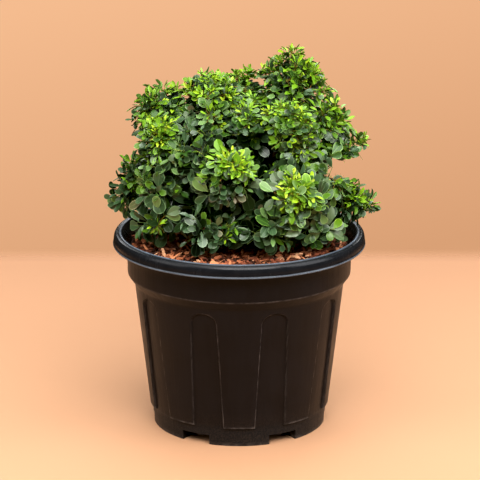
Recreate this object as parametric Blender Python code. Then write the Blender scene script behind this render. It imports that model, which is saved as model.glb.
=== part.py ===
"""Potted orange jasmine.

A dwarf orange jasmine with a dense, lumpy crown of small leaflets, growing
in a ribbed plastic nursery pot that is topped with bark mulch.

Frame: the pot's axis is Z, the pot stands on z = 0, and the origin is the
centre of its flat underside. -Y is the front of the plant, +X its right.
Sizes below are in millimetres; the model itself is in metres.
"""

import math

import bmesh
import bpy
from mathutils import Matrix, Vector, noise
from mathutils.bvhtree import BVHTree

MM = 0.001

# ----------------------------------------------------------------- pot sizes
POT_HEIGHT = 161.0
POT_SEGMENTS = 60
BASE_RADIUS = 70.7          # foot ring, at the floor
BASE_TOP_RADIUS = 71.2      # foot ring, just under the step
STEP_Z = 16.2               # where the ribbed wall starts
WALL_BOTTOM_RADIUS = 73.5
WALL_TOP_RADIUS = 85.4
WALL_TOP_Z = 119.5
COLLAR_RADIUS = 90.9
COLLAR_Z = 127.2
RIM_RADIUS = 102.5
RIM_Z = 150.8               # lower edge of the rolled rim
MOUTH_RADIUS = 95.3
WALL = 3.4                  # wall at the lands between the flutes
FLOOR = 3.4                 # thickness of the pot's floor

FLUTES = 9                  # recessed arched panels, one land at the front
FLUTE_DEPTH = 2.1
FLUTE_LOW_HALF = 9.4        # half width in degrees, at the bottom
FLUTE_HIGH_HALF = 6.9       # half width in degrees, where the arch springs
FLUTE_SPRING_Z = 106.0
FLUTE_ARCH = 7.8            # rise of the arch

NOTCHES = 6                 # drain pockets under the foot ring
NOTCH_HALF = 9.3            # degrees
NOTCH_HEIGHT = 8.0
NOTCH_INNER_RADIUS = 53.0
DRAIN_RADIUS = 4.0
DRAIN_AT = 61.5

# ------------------------------------------------------ growing medium sizes
GAP = 0.3                   # between pieces that touch
MIX_TOP = 147.0
MULCH_TOP = 151.6
MULCH_ROUGH = 1.3
MULCH_HOLE = 13.0           # round the stem's foot

# ---------------------------------------------------------------- stem sizes
STEM_FOOT = (1.0, 1.0)
STEM_TIP = (8.0, 5.0, 212.0)
STEM_RADII = ((0.0, 10.2), (0.05, 8.4), (0.12, 7.1), (0.25, 6.4), (0.5, 5.8),
              (0.75, 5.1), (0.92, 4.2), (1.0, 2.6))
STEM_SIDES = 14
FLARE_LOBES = 5

BOUGH_SIDES = 6
BOUGH_SPANS = 4
BOUGH_FOOT = 2.3            # radius at the stem
BOUGH_TIP = 1.2             # radius where it enters its mass

# -------------------------------------------------------------- foliage sizes
MASS_POINTS = 64            # vertices on each mass
MASS_GAP = 0.8              # between neighbouring masses
MASS_ROUGH = 0.15           # unevenness, as a part of the radius
ROUND = 2.0                 # exponent of a plain rounded mass
POINTED = 1.5               # exponent of a mass with a leading tip
TIP_WIDTH = 20.0            # degrees, how broad a leading tip is
BOUGH_CLEAR = 0.5           # between a mass and any bough

# name: centre x, y, z; half width, half depth, half height; leading tip x, y, z
MASSES = {
    "far_left_low":      ((-86, 2, 196), (23, 24, 38), (-110, 0, 182)),
    "left_column":       ((-62, -18, 241), (20, 24, 24), None),
    "left_tuft":         ((-64, 5, 263), (23, 23, 20), (-89, 4, 258)),
    "centre_left_dome":  ((-24, 0, 267), (28, 30, 28), None),
    "centre_left_mid":   ((-32, -36, 232), (25, 25, 28), None),
    "back_tuft":         ((3, 38, 265), (18, 22, 21), None),
    "top_column":        ((43, 18, 281), (29, 28, 27), (41, 20, 313)),
    "centre_mid":        ((11, -10, 250), (24, 26, 26), None),
    "right_mid_front":   ((39, -35, 252), (23, 23, 27), None),
    "right_shoulder":    ((68, 12, 251), (19, 24, 24), None),
    "right_edge":        ((78, 4, 226), (18, 22, 19), (102, 6, 241)),
    "centre_front":      ((-8, -55, 220), (28, 21, 27), None),
    "right_front":       ((44, -56, 205), (28, 23, 27), None),
    "right_inner":       ((67, -20, 210), (22, 26, 25), None),
    "lower_right":       ((86, -4, 189), (22, 26, 22), (111, -4, 187)),
    "left_mid":          ((-62, -30, 209), (22, 23, 25), None),
    "skirt_left":        ((-64, -28, 181), (24, 26, 24), None),
    "skirt_front_left":  ((-26, -52, 180), (26, 22, 24), None),
    "skirt_front_right": ((23, -56, 177), (26, 20, 22), None),
    "skirt_right":       ((62, -37, 176), (25, 23, 20), None),
    "back_left_upper":   ((-46, 42, 246), (28, 26, 26), None),
    "back_upper":        ((20, 62, 246), (29, 24, 27), None),
    "back_right_upper":  ((62, 48, 234), (26, 26, 28), None),
    "back_left_mid":     ((-66, 42, 206), (27, 27, 27), None),
    "back_mid":          ((-12, 70, 212), (30, 24, 28), None),
    "back_right_mid":    ((66, 50, 194), (28, 27, 28), None),
    "skirt_back_left":   ((-42, 56, 178), (30, 26, 23), None),
    "skirt_back_right":  ((26, 66, 180), (30, 24, 24), None),
}

# masses that hang out past the pot's mouth stay above the rim
OVERHANGING = ("far_left_low", "lower_right", "right_edge", "back_left_mid",
               "back_right_mid", "back_mid")
FLOOR_INSIDE = 155.0
FLOOR_OUTSIDE = 163.2

# how far up the stem, from 0 to 1, each bough leaves it
BOUGH_STARTS = {
    "skirt_left": 0.17, "skirt_front_left": 0.15, "skirt_front_right": 0.18,
    "skirt_right": 0.21, "skirt_back_left": 0.17, "skirt_back_right": 0.19,
    "far_left_low": 0.28, "lower_right": 0.34, "left_mid": 0.38,
    "right_front": 0.36, "back_left_mid": 0.36, "back_right_mid": 0.33,
    "centre_front": 0.50, "right_inner": 0.52, "back_mid": 0.46,
    "centre_left_mid": 0.60, "right_edge": 0.62, "left_column": 0.68,
    "back_left_upper": 0.64, "back_right_upper": 0.60, "right_mid_front": 0.74,
    "left_tuft": 0.84, "right_shoulder": 0.78, "back_upper": 0.74,
    "centre_left_dome": 0.93, "top_column": 0.93, "centre_mid": 1.0,
}


# ------------------------------------------------------------------- helpers
def material(name, color, roughness, metallic=0.0):
    mat = bpy.data.materials.new(name)
    mat.use_nodes = True
    shader = mat.node_tree.nodes["Principled BSDF"]
    shader.inputs["Base Color"].default_value = (*color, 1.0)
    shader.inputs["Roughness"].default_value = roughness
    shader.inputs["Metallic"].default_value = metallic
    return mat


def add_object(name, bm, mat=None, smooth_angle=None):
    mesh = bpy.data.meshes.new(name)
    bm.to_mesh(mesh)
    bm.free()
    if smooth_angle is not None:
        mesh.shade_smooth()
        mesh.set_sharp_from_angle(angle=math.radians(smooth_angle))
    obj = bpy.data.objects.new(name, mesh)
    bpy.context.scene.collection.objects.link(obj)
    if mat:
        mesh.materials.append(mat)
    return obj


def polar(radius, degrees, z):
    """A point at this angle round the pot, with 0 at the front."""
    a = math.radians(degrees)
    return Vector((radius * math.sin(a), -radius * math.cos(a), z)) * MM


def turned(profile, segments):
    """Turn (radius, z) points, given from the axis out and back, about Z."""
    bm = bmesh.new()
    rings = []
    for radius, z in profile:
        if radius == 0.0:
            rings.append([bm.verts.new((0, 0, z * MM))])
        else:
            rings.append([bm.verts.new(polar(radius, 360.0 * i / segments, z))
                          for i in range(segments)])
    for low, high in zip(rings, rings[1:]):
        for i in range(segments):
            j = (i + 1) % segments
            if len(low) == 1:
                bm.faces.new((low[0], high[j], high[i]))
            elif len(high) == 1:
                bm.faces.new((low[i], low[j], high[0]))
            else:
                bm.faces.new((low[i], low[j], high[j], high[i]))
    bmesh.ops.recalc_face_normals(bm, faces=bm.faces)
    return bm


def prism(bm, inner, outer):
    """Join two matching outlines, given as lists of points, into a solid."""
    a = [bm.verts.new(p) for p in inner]
    b = [bm.verts.new(p) for p in outer]
    n = len(a)
    for i in range(n):
        j = (i + 1) % n
        bm.faces.new((a[i], a[j], b[j], b[i]))
    return a, b


def cut(obj, name, bm):
    """Take a cutter's shape out of an object."""
    bmesh.ops.recalc_face_normals(bm, faces=bm.faces)
    cutter = add_object(name, bm)
    cutter.hide_render = True
    cutter.display_type = "WIRE"
    mod = obj.modifiers.new(name, "BOOLEAN")
    mod.operation = "DIFFERENCE"
    mod.solver = "EXACT"
    mod.object = cutter
    return cutter


def lerp(a, b, t):
    return a + (b - a) * t


# ----------------------------------------------------------------------- pot
def land_radius(z):
    return lerp(WALL_BOTTOM_RADIUS, WALL_TOP_RADIUS,
                (z - STEP_Z) / (WALL_TOP_Z - STEP_Z))


def flute_cutters():
    """Arched panels, cut into the wall and open onto the foot ring."""
    bm = bmesh.new()
    low_z = STEP_Z - 1.1
    columns = [-math.cos(math.pi * i / 8) for i in range(9)]

    def outline(centre, extra_radius, draft):
        low, high = [], []
        for u in columns:
            top = FLUTE_SPRING_Z + (FLUTE_ARCH + draft * 1.2) * math.sqrt(
                max(0.0, 1 - u * u))
            for z, row in ((low_z, low), (top, high)):
                half = lerp(FLUTE_LOW_HALF, FLUTE_HIGH_HALF,
                            (z - STEP_Z) / (FLUTE_SPRING_Z - STEP_Z)) + draft
                radius = max(land_radius(z) - FLUTE_DEPTH,
                             BASE_TOP_RADIUS + 0.15) + extra_radius
                row.append(polar(radius, centre + u * half, z))
        return low, high

    for k in range(FLUTES):
        centre = 360.0 * (k + 0.5) / FLUTES
        low_i, high_i = outline(centre, 0.0, 0.0)
        low_o, high_o = outline(centre, 6.0, 2.2)
        a_low = [bm.verts.new(p) for p in low_i]
        a_high = [bm.verts.new(p) for p in high_i]
        b_low = [bm.verts.new(p) for p in low_o]
        b_high = [bm.verts.new(p) for p in high_o]
        for i in range(8):
            bm.faces.new((a_low[i], a_low[i + 1], a_high[i + 1], a_high[i]))
            bm.faces.new((b_low[i], b_high[i], b_high[i + 1], b_low[i + 1]))
            bm.faces.new((a_low[i], b_low[i], b_low[i + 1], a_low[i + 1]))
            bm.faces.new((a_high[i], a_high[i + 1], b_high[i + 1], b_high[i]))
        bm.faces.new((a_low[0], a_high[0], b_high[0], b_low[0]))
        bm.faces.new((a_low[8], b_low[8], b_high[8], a_high[8]))
    return bm


def sector_blocks(half, inner, outer, low_z, high_z):
    """A block over each drain pocket, widening with the radius."""
    bm = bmesh.new()
    for k in range(NOTCHES):
        centre = 360.0 * (k + 0.5) / NOTCHES
        corners = ((inner, -half * outer / inner * 0.86), (outer, -half),
                   (outer, half), (inner, half * outer / inner * 0.86))
        a, b = prism(bm, [polar(r, centre + d, low_z) for r, d in corners],
                     [polar(r, centre + d, high_z) for r, d in corners])
        bm.faces.new(a)
        bm.faces.new(reversed(b))
    return bm


def inside_profile(gap, low_z, high_z):
    """The inner face of the pot's wall from the floor up, moved in by gap."""
    rows = [(BASE_TOP_RADIUS - WALL + 0.2 - gap, low_z),
            (land_radius(STEP_Z) - WALL - gap, STEP_Z),
            (land_radius(WALL_TOP_Z) - WALL - gap, WALL_TOP_Z - 0.5),
            (COLLAR_RADIUS - 2.6 - gap, COLLAR_Z + 0.6)]
    rows.append((lerp(COLLAR_RADIUS - 2.6, COLLAR_RADIUS - 2.2,
                      (high_z - COLLAR_Z) / 25.0) - gap, high_z))
    return rows


def build_pot():
    outside = [
        (0.0, 0.0), (BASE_RADIUS - 0.8, 0.0), (BASE_RADIUS, 0.8),
        (BASE_TOP_RADIUS, STEP_Z - 0.9), (WALL_BOTTOM_RADIUS, STEP_Z),
        (WALL_TOP_RADIUS, WALL_TOP_Z), (COLLAR_RADIUS - 0.3, COLLAR_Z - 0.6),
        (COLLAR_RADIUS, COLLAR_Z), (COLLAR_RADIUS + 0.4, RIM_Z + 0.2),
        (RIM_RADIUS - 0.6, RIM_Z - 0.4), (RIM_RADIUS, RIM_Z + 0.4),
        (RIM_RADIUS - 0.2, RIM_Z + 4.6), (RIM_RADIUS - 1.2, POT_HEIGHT - 2.0),
        (RIM_RADIUS - 2.9, POT_HEIGHT - 0.5), (RIM_RADIUS - 4.6, POT_HEIGHT),
        (MOUTH_RADIUS + 0.9, POT_HEIGHT - 0.2), (MOUTH_RADIUS, POT_HEIGHT - 1.0),
        (COLLAR_RADIUS + 2.6, POT_HEIGHT - 3.2), (0.0, POT_HEIGHT - 3.2),
    ]
    pot = add_object("pot", turned(outside, POT_SEGMENTS),
                     material("pot", (0.012, 0.010, 0.010), 0.5), 32)
    cut(pot, "cutter_flutes", flute_cutters())

    hollow = [(0.0, FLOOR)] + inside_profile(0.0, FLOOR, RIM_Z - 0.5)
    hollow += [(COLLAR_RADIUS + 2.6, POT_HEIGHT - 3.2),
               (COLLAR_RADIUS + 5.4, POT_HEIGHT + 3.0), (0.0, POT_HEIGHT + 3.0)]
    cavity = cut(pot, "cutter_cavity", turned(hollow, POT_SEGMENTS))
    cut(cavity, "cutter_pocket_roofs",
        sector_blocks(NOTCH_HALF + 2.2, NOTCH_INNER_RADIUS - 2.6, 80.0,
                      -2.0, NOTCH_HEIGHT + 2.6))
    cut(pot, "cutter_notches",
        sector_blocks(NOTCH_HALF, NOTCH_INNER_RADIUS, 80.0, -3.0, NOTCH_HEIGHT))

    bm = bmesh.new()
    for k in range(NOTCHES):
        place = Matrix.Translation(
            polar(DRAIN_AT, 360.0 * (k + 0.5) / NOTCHES, NOTCH_HEIGHT + 1.3))
        bmesh.ops.create_cone(bm, cap_ends=True, segments=10,
                              radius1=DRAIN_RADIUS * MM,
                              radius2=DRAIN_RADIUS * MM, depth=6.0 * MM,
                              matrix=place)
    cut(pot, "cutter_drains", bm)
    return pot


# ------------------------------------------------------------ growing medium
def build_mix():
    low = FLOOR + GAP
    profile = [(0.0, low)] + inside_profile(GAP, low, MIX_TOP)
    profile += [(0.0, MIX_TOP)]
    mix = add_object("potting_mix", turned(profile, 36),
                     material("potting_mix", (0.030, 0.017, 0.010), 0.95), 40)
    cut(mix, "cutter_mix_pockets",
        sector_blocks(NOTCH_HALF + 2.8, NOTCH_INNER_RADIUS - 3.4, 82.0,
                      -2.0, NOTCH_HEIGHT + 3.0))
    return mix


def build_mulch():
    """A loose layer with an uneven top and a clear ring round the stem."""
    bm = bmesh.new()
    segments = 30
    outer = COLLAR_RADIUS - 2.35 - 2 * GAP
    radii = [lerp(MULCH_HOLE, outer, t) for t in (0, 0.25, 0.5, 0.72, 0.88, 1)]
    low_z = MIX_TOP + GAP

    def ring(radius, part, z=None):
        verts = []
        for i in range(segments):
            a = 360.0 * i / segments
            foot = Vector((STEM_FOOT[0], STEM_FOOT[1], 0)) * MM * (1 - part)
            p = polar(radius, a, 0) + foot
            high = MULCH_TOP + MULCH_ROUGH * noise.noise(
                Vector((p.x * 70, p.y * 70, 3.1)))
            verts.append(bm.verts.new((p.x, p.y, (z or high) * MM)))
        return verts

    rings = [ring(radii[0], 0.0, low_z)]
    rings += [ring(r, k / 5) for k, r in enumerate(radii)]
    rings += [ring(radii[-1], 1.0, low_z)]
    rings.append(rings[0])
    for low, high in zip(rings, rings[1:]):
        for i in range(segments):
            j = (i + 1) % segments
            bm.faces.new((low[i], low[j], high[j], high[i]))
    bmesh.ops.recalc_face_normals(bm, faces=bm.faces)
    return add_object("bark_mulch", bm,
                      material("bark_mulch", (0.155, 0.055, 0.026), 0.9), 30)


# ---------------------------------------------------------------- stem, boughs
def stem_centre(t):
    """The stem's middle line: it leans and bows a little as it rises."""
    foot = Vector((STEM_FOOT[0], STEM_FOOT[1], MIX_TOP + GAP))
    tip = Vector(STEM_TIP)
    bow = Vector((-2.4, 1.8, 0.0)) * math.sin(math.pi * t)
    return foot.lerp(tip, t) + bow


def stem_radius(t):
    for (t0, r0), (t1, r1) in zip(STEM_RADII, STEM_RADII[1:]):
        if t <= t1:
            return lerp(r0, r1, (t - t0) / (t1 - t0))
    return STEM_RADII[-1][1]


def tube(rings):
    """A closed solid from rings of points, with flat ends."""
    bm = bmesh.new()
    loops = [[bm.verts.new(p * MM) for p in ring] for ring in rings]
    n = len(loops[0])
    for low, high in zip(loops, loops[1:]):
        for i in range(n):
            j = (i + 1) % n
            bm.faces.new((low[i], low[j], high[j], high[i]))
    bm.faces.new(list(reversed(loops[0])))
    bm.faces.new(loops[-1])
    bmesh.ops.recalc_face_normals(bm, faces=bm.faces)
    return bm


def build_stem(mat):
    rings = []
    for t, radius in STEM_RADII:
        centre = stem_centre(t)
        flare = max(0.0, 1 - t / 0.16)
        ring = []
        for i in range(STEM_SIDES):
            a = 2 * math.pi * i / STEM_SIDES
            r = radius * (1 + 0.14 * flare * math.cos(FLARE_LOBES * a + 0.6)
                          + 0.03 * math.sin(3 * a + 9 * t))
            ring.append(centre + Vector((r * math.cos(a), r * math.sin(a), 0)))
        rings.append(ring)
    return add_object("stem", tube(rings), mat, 40)


def bough_line(name):
    """Middle points of a bough, from the stem's side to its mass."""
    centre, size, _ = MASSES[name]
    centre = Vector(centre)
    t = BOUGH_STARTS[name]
    axis = stem_centre(t)
    out = centre - axis
    side = Vector((out.x, out.y, 0.0)).normalized()
    rise = max(0.25, out.normalized().z)
    leave = (side * (1.0 - 0.55 * rise) + Vector((0, 0, rise))).normalized()
    if t >= 1.0:
        leave = Vector((0.15, -0.2, 1.0)).normalized()
        start = axis + Vector((0, 0, GAP + 0.1)) + leave * 0.2
    else:
        start = axis + side * (stem_radius(t) * 1.04 + GAP
                               + BOUGH_FOOT * abs(leave.z) * 1.02)
    inward = (start - centre)
    reach = 0.55 / math.sqrt(sum((inward[i] / inward.length / size[i]) ** 2
                                 for i in range(3)))
    end = centre + inward.normalized() * reach
    knee = start + leave * (end - start).length * 0.45
    points = []
    for k in range(BOUGH_SPANS + 1):
        u = k / BOUGH_SPANS
        points.append(start * (1 - u) ** 2 + knee * 2 * u * (1 - u)
                      + end * u * u)
    return points


def bough_radius(u):
    return lerp(BOUGH_FOOT, BOUGH_TIP, u ** 0.8)


def build_bough(name, mat):
    points = bough_line(name)
    rings = []
    side = None
    for k, p in enumerate(points):
        ahead = points[min(k + 1, BOUGH_SPANS)] - points[max(k - 1, 0)]
        ahead.normalize()
        if side is None:
            side = ahead.orthogonal().normalized()
        side = (side - ahead * side.dot(ahead)).normalized()
        across = ahead.cross(side)
        r = bough_radius(k / BOUGH_SPANS)
        rings.append([p + (side * math.cos(a) + across * math.sin(a)) * r
                      for a in (2 * math.pi * i / BOUGH_SIDES
                                for i in range(BOUGH_SIDES))])
    return add_object("bough_" + name, tube(rings), mat, 40)


# ------------------------------------------------------------------- foliage
def reach(size, direction, power=ROUND):
    """The radius of a rounded or pointed ball in a direction."""
    return sum(abs(direction[i] / size[i]) ** power
               for i in range(3)) ** (-1.0 / power)


def mass_limits(name):
    """Planes that keep a mass off its neighbours and off the mulch."""
    centre = Vector(MASSES[name][0])
    size = MASSES[name][1]
    planes = []
    for other, (c, s, _) in MASSES.items():
        if other == name:
            continue
        apart = Vector(c) - centre
        d = apart.length
        n = apart / d
        mine, theirs = reach(size, n), reach(s, n)
        planes.append((n, d * mine / (mine + theirs) - MASS_GAP / 2))
    floor = FLOOR_OUTSIDE if name in OVERHANGING else FLOOR_INSIDE
    planes.append((Vector((0, 0, -1)), centre.z - floor))
    return planes


def ball_points(count, pole):
    """Evenly spread directions, the first of them at the pole."""
    turn = Vector((0, 0, 1)).rotation_difference(pole)
    golden = math.pi * (3 - math.sqrt(5))
    for i in range(count):
        z = 1 - 2 * i / (count - 1)
        r = math.sqrt(max(0.0, 1 - z * z))
        yield turn @ Vector((r * math.cos(golden * i),
                             r * math.sin(golden * i), z))


def build_mass(name, seed, limbs, mat):
    """One lumpy closed solid, held inside its planes and off every limb."""
    centre, size, tip = MASSES[name]
    centre = Vector(centre)
    planes = mass_limits(name)
    pole = Vector((0, 0, 1))
    power = ROUND
    if tip:
        tip = Vector(tip) - centre
        pole = tip.normalized()
        power = POINTED
    shift = Vector((seed * 7.3, seed * 3.1, seed * 5.7))
    bm = bmesh.new()
    reaches = []
    for d in ball_points(MASS_POINTS, pole):
        r = reach(size, d, power) * (
            0.96 + MASS_ROUGH * 1.2 * noise.noise(d * 2.1 + shift)
            + MASS_ROUGH * noise.noise(d * 4.6 - shift))
        if tip:
            angle = math.degrees(pole.angle(d, 0.0))
            r += (tip.length - r) * math.exp(-(angle / TIP_WIDTH) ** 2)
        for n, off in planes:
            along = n.dot(d)
            if along > 1e-6:
                r = min(r, off / along)
        reaches.append((d, r))
        bm.verts.new(d)
    bmesh.ops.convex_hull(bm, input=bm.verts)
    bm.verts.ensure_lookup_table()
    for v, (d, r) in zip(bm.verts, reaches):
        v.co = (centre + d * r)
    bmesh.ops.recalc_face_normals(bm, faces=bm.faces)

    for _ in range(80):
        tree = BVHTree.FromBMesh(bm)
        bm.faces.ensure_lookup_table()
        hit = set()
        for p, r in limbs:
            near, normal, index, far = tree.find_nearest(p)
            if (p - near).dot(normal) < 0 or far < r + BOUGH_CLEAR:
                hit.update(bm.faces[index].verts)
        if not hit:
            break
        for v in hit:
            v.co = centre + (v.co - centre) * 0.95
    for v in bm.verts:
        v.co = v.co * MM
    return add_object("foliage_" + name, bm, mat, 60)


def limb_points():
    """Points along every limb, closely spaced, each with its radius."""
    points = []
    for k in range(60):
        t = k / 59
        points.append((stem_centre(t), stem_radius(t)))
    for name in BOUGH_STARTS:
        line = bough_line(name)
        for k in range(BOUGH_SPANS):
            steps = max(2, int((line[k + 1] - line[k]).length / 1.2))
            for i in range(steps + 1):
                u = i / steps
                points.append((line[k].lerp(line[k + 1], u),
                               bough_radius((k + u) / BOUGH_SPANS)))
    return points


def main():
    for obj in list(bpy.data.objects):
        bpy.data.objects.remove(obj, do_unlink=True)

    build_pot()
    build_mix()
    build_mulch()

    bark = material("bark", (0.115, 0.052, 0.030), 0.8)
    build_stem(bark)
    for name in BOUGH_STARTS:
        build_bough(name, bark)

    limbs = limb_points()
    shades = {"top": (0.130, 0.270, 0.035), "mid": (0.060, 0.150, 0.050),
              "low": (0.035, 0.095, 0.045)}
    mats = {k: material("leaf_" + k, c, 0.5) for k, c in shades.items()}
    for seed, (name, (centre, _, _)) in enumerate(MASSES.items()):
        level = "top" if centre[2] > 245 else "mid" if centre[2] > 200 else "low"
        build_mass(name, seed + 1, limbs, mats[level])


main()
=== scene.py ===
"""The looks of the potted orange jasmine.

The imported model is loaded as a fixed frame. Round it go a finely moulded pot,
a bed of bark chips, limbs with the bark's relief, and twigs and leaflets that
grow on from the boughs by a seeded rule. Sizes are in millimetres and turned
to metres when a mesh is made.
"""

import math
import random

import bmesh
import bpy
import numpy as np
from mathutils import Matrix, Vector, noise
from mathutils.bvhtree import BVHTree


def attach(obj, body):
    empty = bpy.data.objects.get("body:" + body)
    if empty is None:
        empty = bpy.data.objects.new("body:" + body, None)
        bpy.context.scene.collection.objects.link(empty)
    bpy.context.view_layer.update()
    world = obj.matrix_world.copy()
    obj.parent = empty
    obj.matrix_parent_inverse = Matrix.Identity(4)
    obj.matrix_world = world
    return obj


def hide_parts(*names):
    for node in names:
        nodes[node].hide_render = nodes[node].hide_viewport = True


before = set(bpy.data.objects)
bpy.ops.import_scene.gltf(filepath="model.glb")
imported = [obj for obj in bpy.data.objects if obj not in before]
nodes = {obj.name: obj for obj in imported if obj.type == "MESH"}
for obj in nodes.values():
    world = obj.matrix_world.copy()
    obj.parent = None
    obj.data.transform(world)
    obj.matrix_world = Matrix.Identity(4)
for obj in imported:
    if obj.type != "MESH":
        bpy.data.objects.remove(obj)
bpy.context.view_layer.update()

MM = 0.001
UP = Vector((0.0, 0.0, 1.0))
GOLDEN = math.pi * (3 - math.sqrt(5))


def lerp(a, b, t):
    return a + (b - a) * t


def clamp(x, low=0.0, high=1.0):
    return max(low, min(high, x))


def smooth(x):
    x = clamp(x)
    return x * x * (3 - 2 * x)


# =================================================================== materials
def shader_of(mat):
    return mat.node_tree.nodes["Principled BSDF"]


def plain(name, color, roughness, specular=0.5, **more):
    """A material with one base colour, for the many small joined pieces."""
    mat = bpy.data.materials.new(name)
    mat.use_nodes = True
    s = shader_of(mat)
    s.inputs["Base Color"].default_value = (*color, 1.0)
    s.inputs["Roughness"].default_value = roughness
    s.inputs["Specular IOR Level"].default_value = specular
    for key, value in more.items():
        s.inputs[key.replace("_", " ")].default_value = value
    return mat


class Nodes:
    """Short hands for building a node tree."""

    def __init__(self, tree):
        self.tree = tree

    def add(self, kind, inputs=None, **props):
        node = self.tree.nodes.new(kind)
        for key, value in props.items():
            setattr(node, key, value)
        for key, value in (inputs or {}).items():
            if isinstance(value, bpy.types.NodeSocket):
                self.tree.links.new(value, node.inputs[key])
            else:
                node.inputs[key].default_value = value
        return node

    def link(self, a, b):
        self.tree.links.new(a, b)

    def where(self, scale=(1, 1, 1), offset=(0, 0, 0)):
        coord = self.add("ShaderNodeTexCoord")
        return self.add("ShaderNodeMapping",
                        {"Vector": coord.outputs["Object"], "Scale": scale,
                         "Location": offset}).outputs[0]

    def noise(self, vector, scale, detail=4.0, roughness=0.55, distortion=0.0):
        return self.add("ShaderNodeTexNoise",
                        {"Vector": vector, "Scale": scale, "Detail": detail,
                         "Roughness": roughness,
                         "Distortion": distortion}).outputs["Fac"]

    def ramp(self, fac, stops, mode="LINEAR"):
        node = self.add("ShaderNodeValToRGB", {"Fac": fac})
        ramp = node.color_ramp
        ramp.interpolation = mode
        while len(ramp.elements) < len(stops):
            ramp.elements.new(0.5)
        for element, (at, color) in zip(ramp.elements, stops):
            element.position = at
            element.color = (*color, 1.0) if len(color) == 3 else color
        return node.outputs["Color"]

    def range(self, value, low, high, to_low, to_high):
        return self.add("ShaderNodeMapRange",
                        {"Value": value, "From Min": low, "From Max": high,
                         "To Min": to_low, "To Max": to_high}).outputs["Result"]

    def math(self, kind, a, b=0.0):
        return self.add("ShaderNodeMath", {0: a, 1: b},
                        operation=kind).outputs[0]

    def mix(self, fac, a, b, blend="MIX"):
        node = self.tree.nodes.new("ShaderNodeMix")
        node.data_type = "RGBA"
        node.blend_type = blend
        for index, value in ((0, fac), (6, a), (7, b)):
            if isinstance(value, bpy.types.NodeSocket):
                self.tree.links.new(value, node.inputs[index])
            elif index == 0:
                node.inputs[index].default_value = value
            else:
                node.inputs[index].default_value = (*value, 1.0)
        return node.outputs[2]

    def bump(self, height, strength, distance, normal=None):
        inputs = {"Height": height, "Strength": strength, "Distance": distance}
        if normal is not None:
            inputs["Normal"] = normal
        return self.add("ShaderNodeBump", inputs).outputs["Normal"]


def patterned(name, specular=0.5):
    mat = bpy.data.materials.new(name)
    mat.use_nodes = True
    s = shader_of(mat)
    s.inputs["Specular IOR Level"].default_value = specular
    return mat, s, Nodes(mat.node_tree)


def pot_material():
    """Dark moulded plastic: faint flow streaks, a fine grain, scuffs, dust, a painted
    cool sheen on the rim, and painted highlights on the rim's bead and lip and along
    the edges.
    """
    mat, s, n = patterned("moulded_plastic", 0.24)
    at = n.where()
    streak = n.noise(n.where((260, 260, 9)), 1.0, 3.0, 0.6)
    cloud = n.noise(at, 34.0, 4.0, 0.6)
    fine = n.noise(at, 900.0, 2.0, 0.6)
    grain = n.noise(at, 2600.0, 2.0, 0.5)
    scuff = n.noise(n.where((90, 90, 420), (3, 1, 0)), 1.0, 5.0, 0.75)
    height = n.add("ShaderNodeSeparateXYZ", {"Vector": at}).outputs["Z"]

    base = n.ramp(cloud, [(0.30, (0.0036, 0.0029, 0.0036)),
                          (0.70, (0.0067, 0.0055, 0.0067))])
    base = n.mix(n.range(streak, 0.35, 0.75, 0.0, 0.40), base,
                 (0.0090, 0.0074, 0.0082))
    # the rim is painted bluer: a painted cool sheen of the light from above
    rim = n.range(height, 0.146, 0.158, 0.0, 1.0)
    base = n.mix(rim, base, n.mix(n.range(cloud, 0.3, 0.7, 0.0, 1.0),
                                  (0.0080, 0.0090, 0.0116),
                                  (0.0130, 0.0144, 0.0178)))
    flat = n.add("ShaderNodeVectorMath",
                 {0: at, 1: (1.0, 1.0, 0.0)}, operation="MULTIPLY").outputs[0]
    radius = n.add("ShaderNodeVectorMath", {0: flat},
                   operation="LENGTH").outputs["Value"]
    # painted highlights: the rim's bead and its lower lip are painted pale and bluish,
    # where the light catches them
    bead = n.math("MULTIPLY", n.range(radius, 0.0985, 0.0972, 0.0, 1.0),
                  n.range(height, 0.1600, 0.1607, 0.0, 1.0))
    lip = n.math("MULTIPLY", n.range(radius, 0.1021, 0.1025, 0.0, 1.0),
                 n.math("MULTIPLY", n.range(height, 0.1505, 0.1510, 0.0, 1.0),
                        n.range(height, 0.1524, 0.1519, 0.0, 1.0)))
    glint_amount = n.math("MULTIPLY", n.math("ADD", bead, lip),
                  n.range(cloud, 0.35, 0.65, 0.55, 1.0))
    # painted highlights along the flutes' edges, the step, the foot and the collar,
    # read from a per-vertex attribute
    edge = n.add("ShaderNodeAttribute", attribute_name="painted_edge_glint")
    edge = n.math("MULTIPLY", edge.outputs["Fac"],
                  n.range(n.noise(at, 170.0, 3.0, 0.6), 0.36, 0.62, 0.15, 1.0))
    base = n.mix(n.range(height, 0.0185, 0.0155, 0.0, 1.0), base,
                 (0.0050, 0.0058, 0.0078))
    dust = n.math("MULTIPLY", n.range(height, 0.030, 0.0, 0.0, 0.60),
                  n.range(fine, 0.40, 0.72, 0.0, 1.0))
    base = n.mix(dust, base, (0.052, 0.040, 0.031))
    marks = n.math("MULTIPLY", n.range(scuff, 0.60, 0.80, 0.0, 0.55),
                   n.range(cloud, 0.46, 0.66, 0.0, 1.0))
    base = n.mix(marks, base, (0.024, 0.021, 0.020))
    base = n.mix(glint_amount, base, (0.120, 0.145, 0.180))
    base = n.mix(edge, base, (0.150, 0.132, 0.126))
    n.link(base, s.inputs["Base Color"])

    rough = n.range(cloud, 0.3, 0.7, 0.34, 0.46)
    rough = n.math("ADD", rough, n.range(streak, 0.3, 0.7, -0.05, 0.05))
    rough = n.math("ADD", rough, n.math("MULTIPLY", marks, 0.22))
    rough = n.math("ADD", rough, n.range(height, 0.149, 0.153, 0.0, -0.17))
    n.link(rough, s.inputs["Roughness"])

    normal = n.bump(grain, 0.16, 0.00016)
    normal = n.bump(n.math("ADD", streak, cloud), 0.22, 0.00060, normal)
    n.link(normal, s.inputs["Normal"])
    return mat


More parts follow.
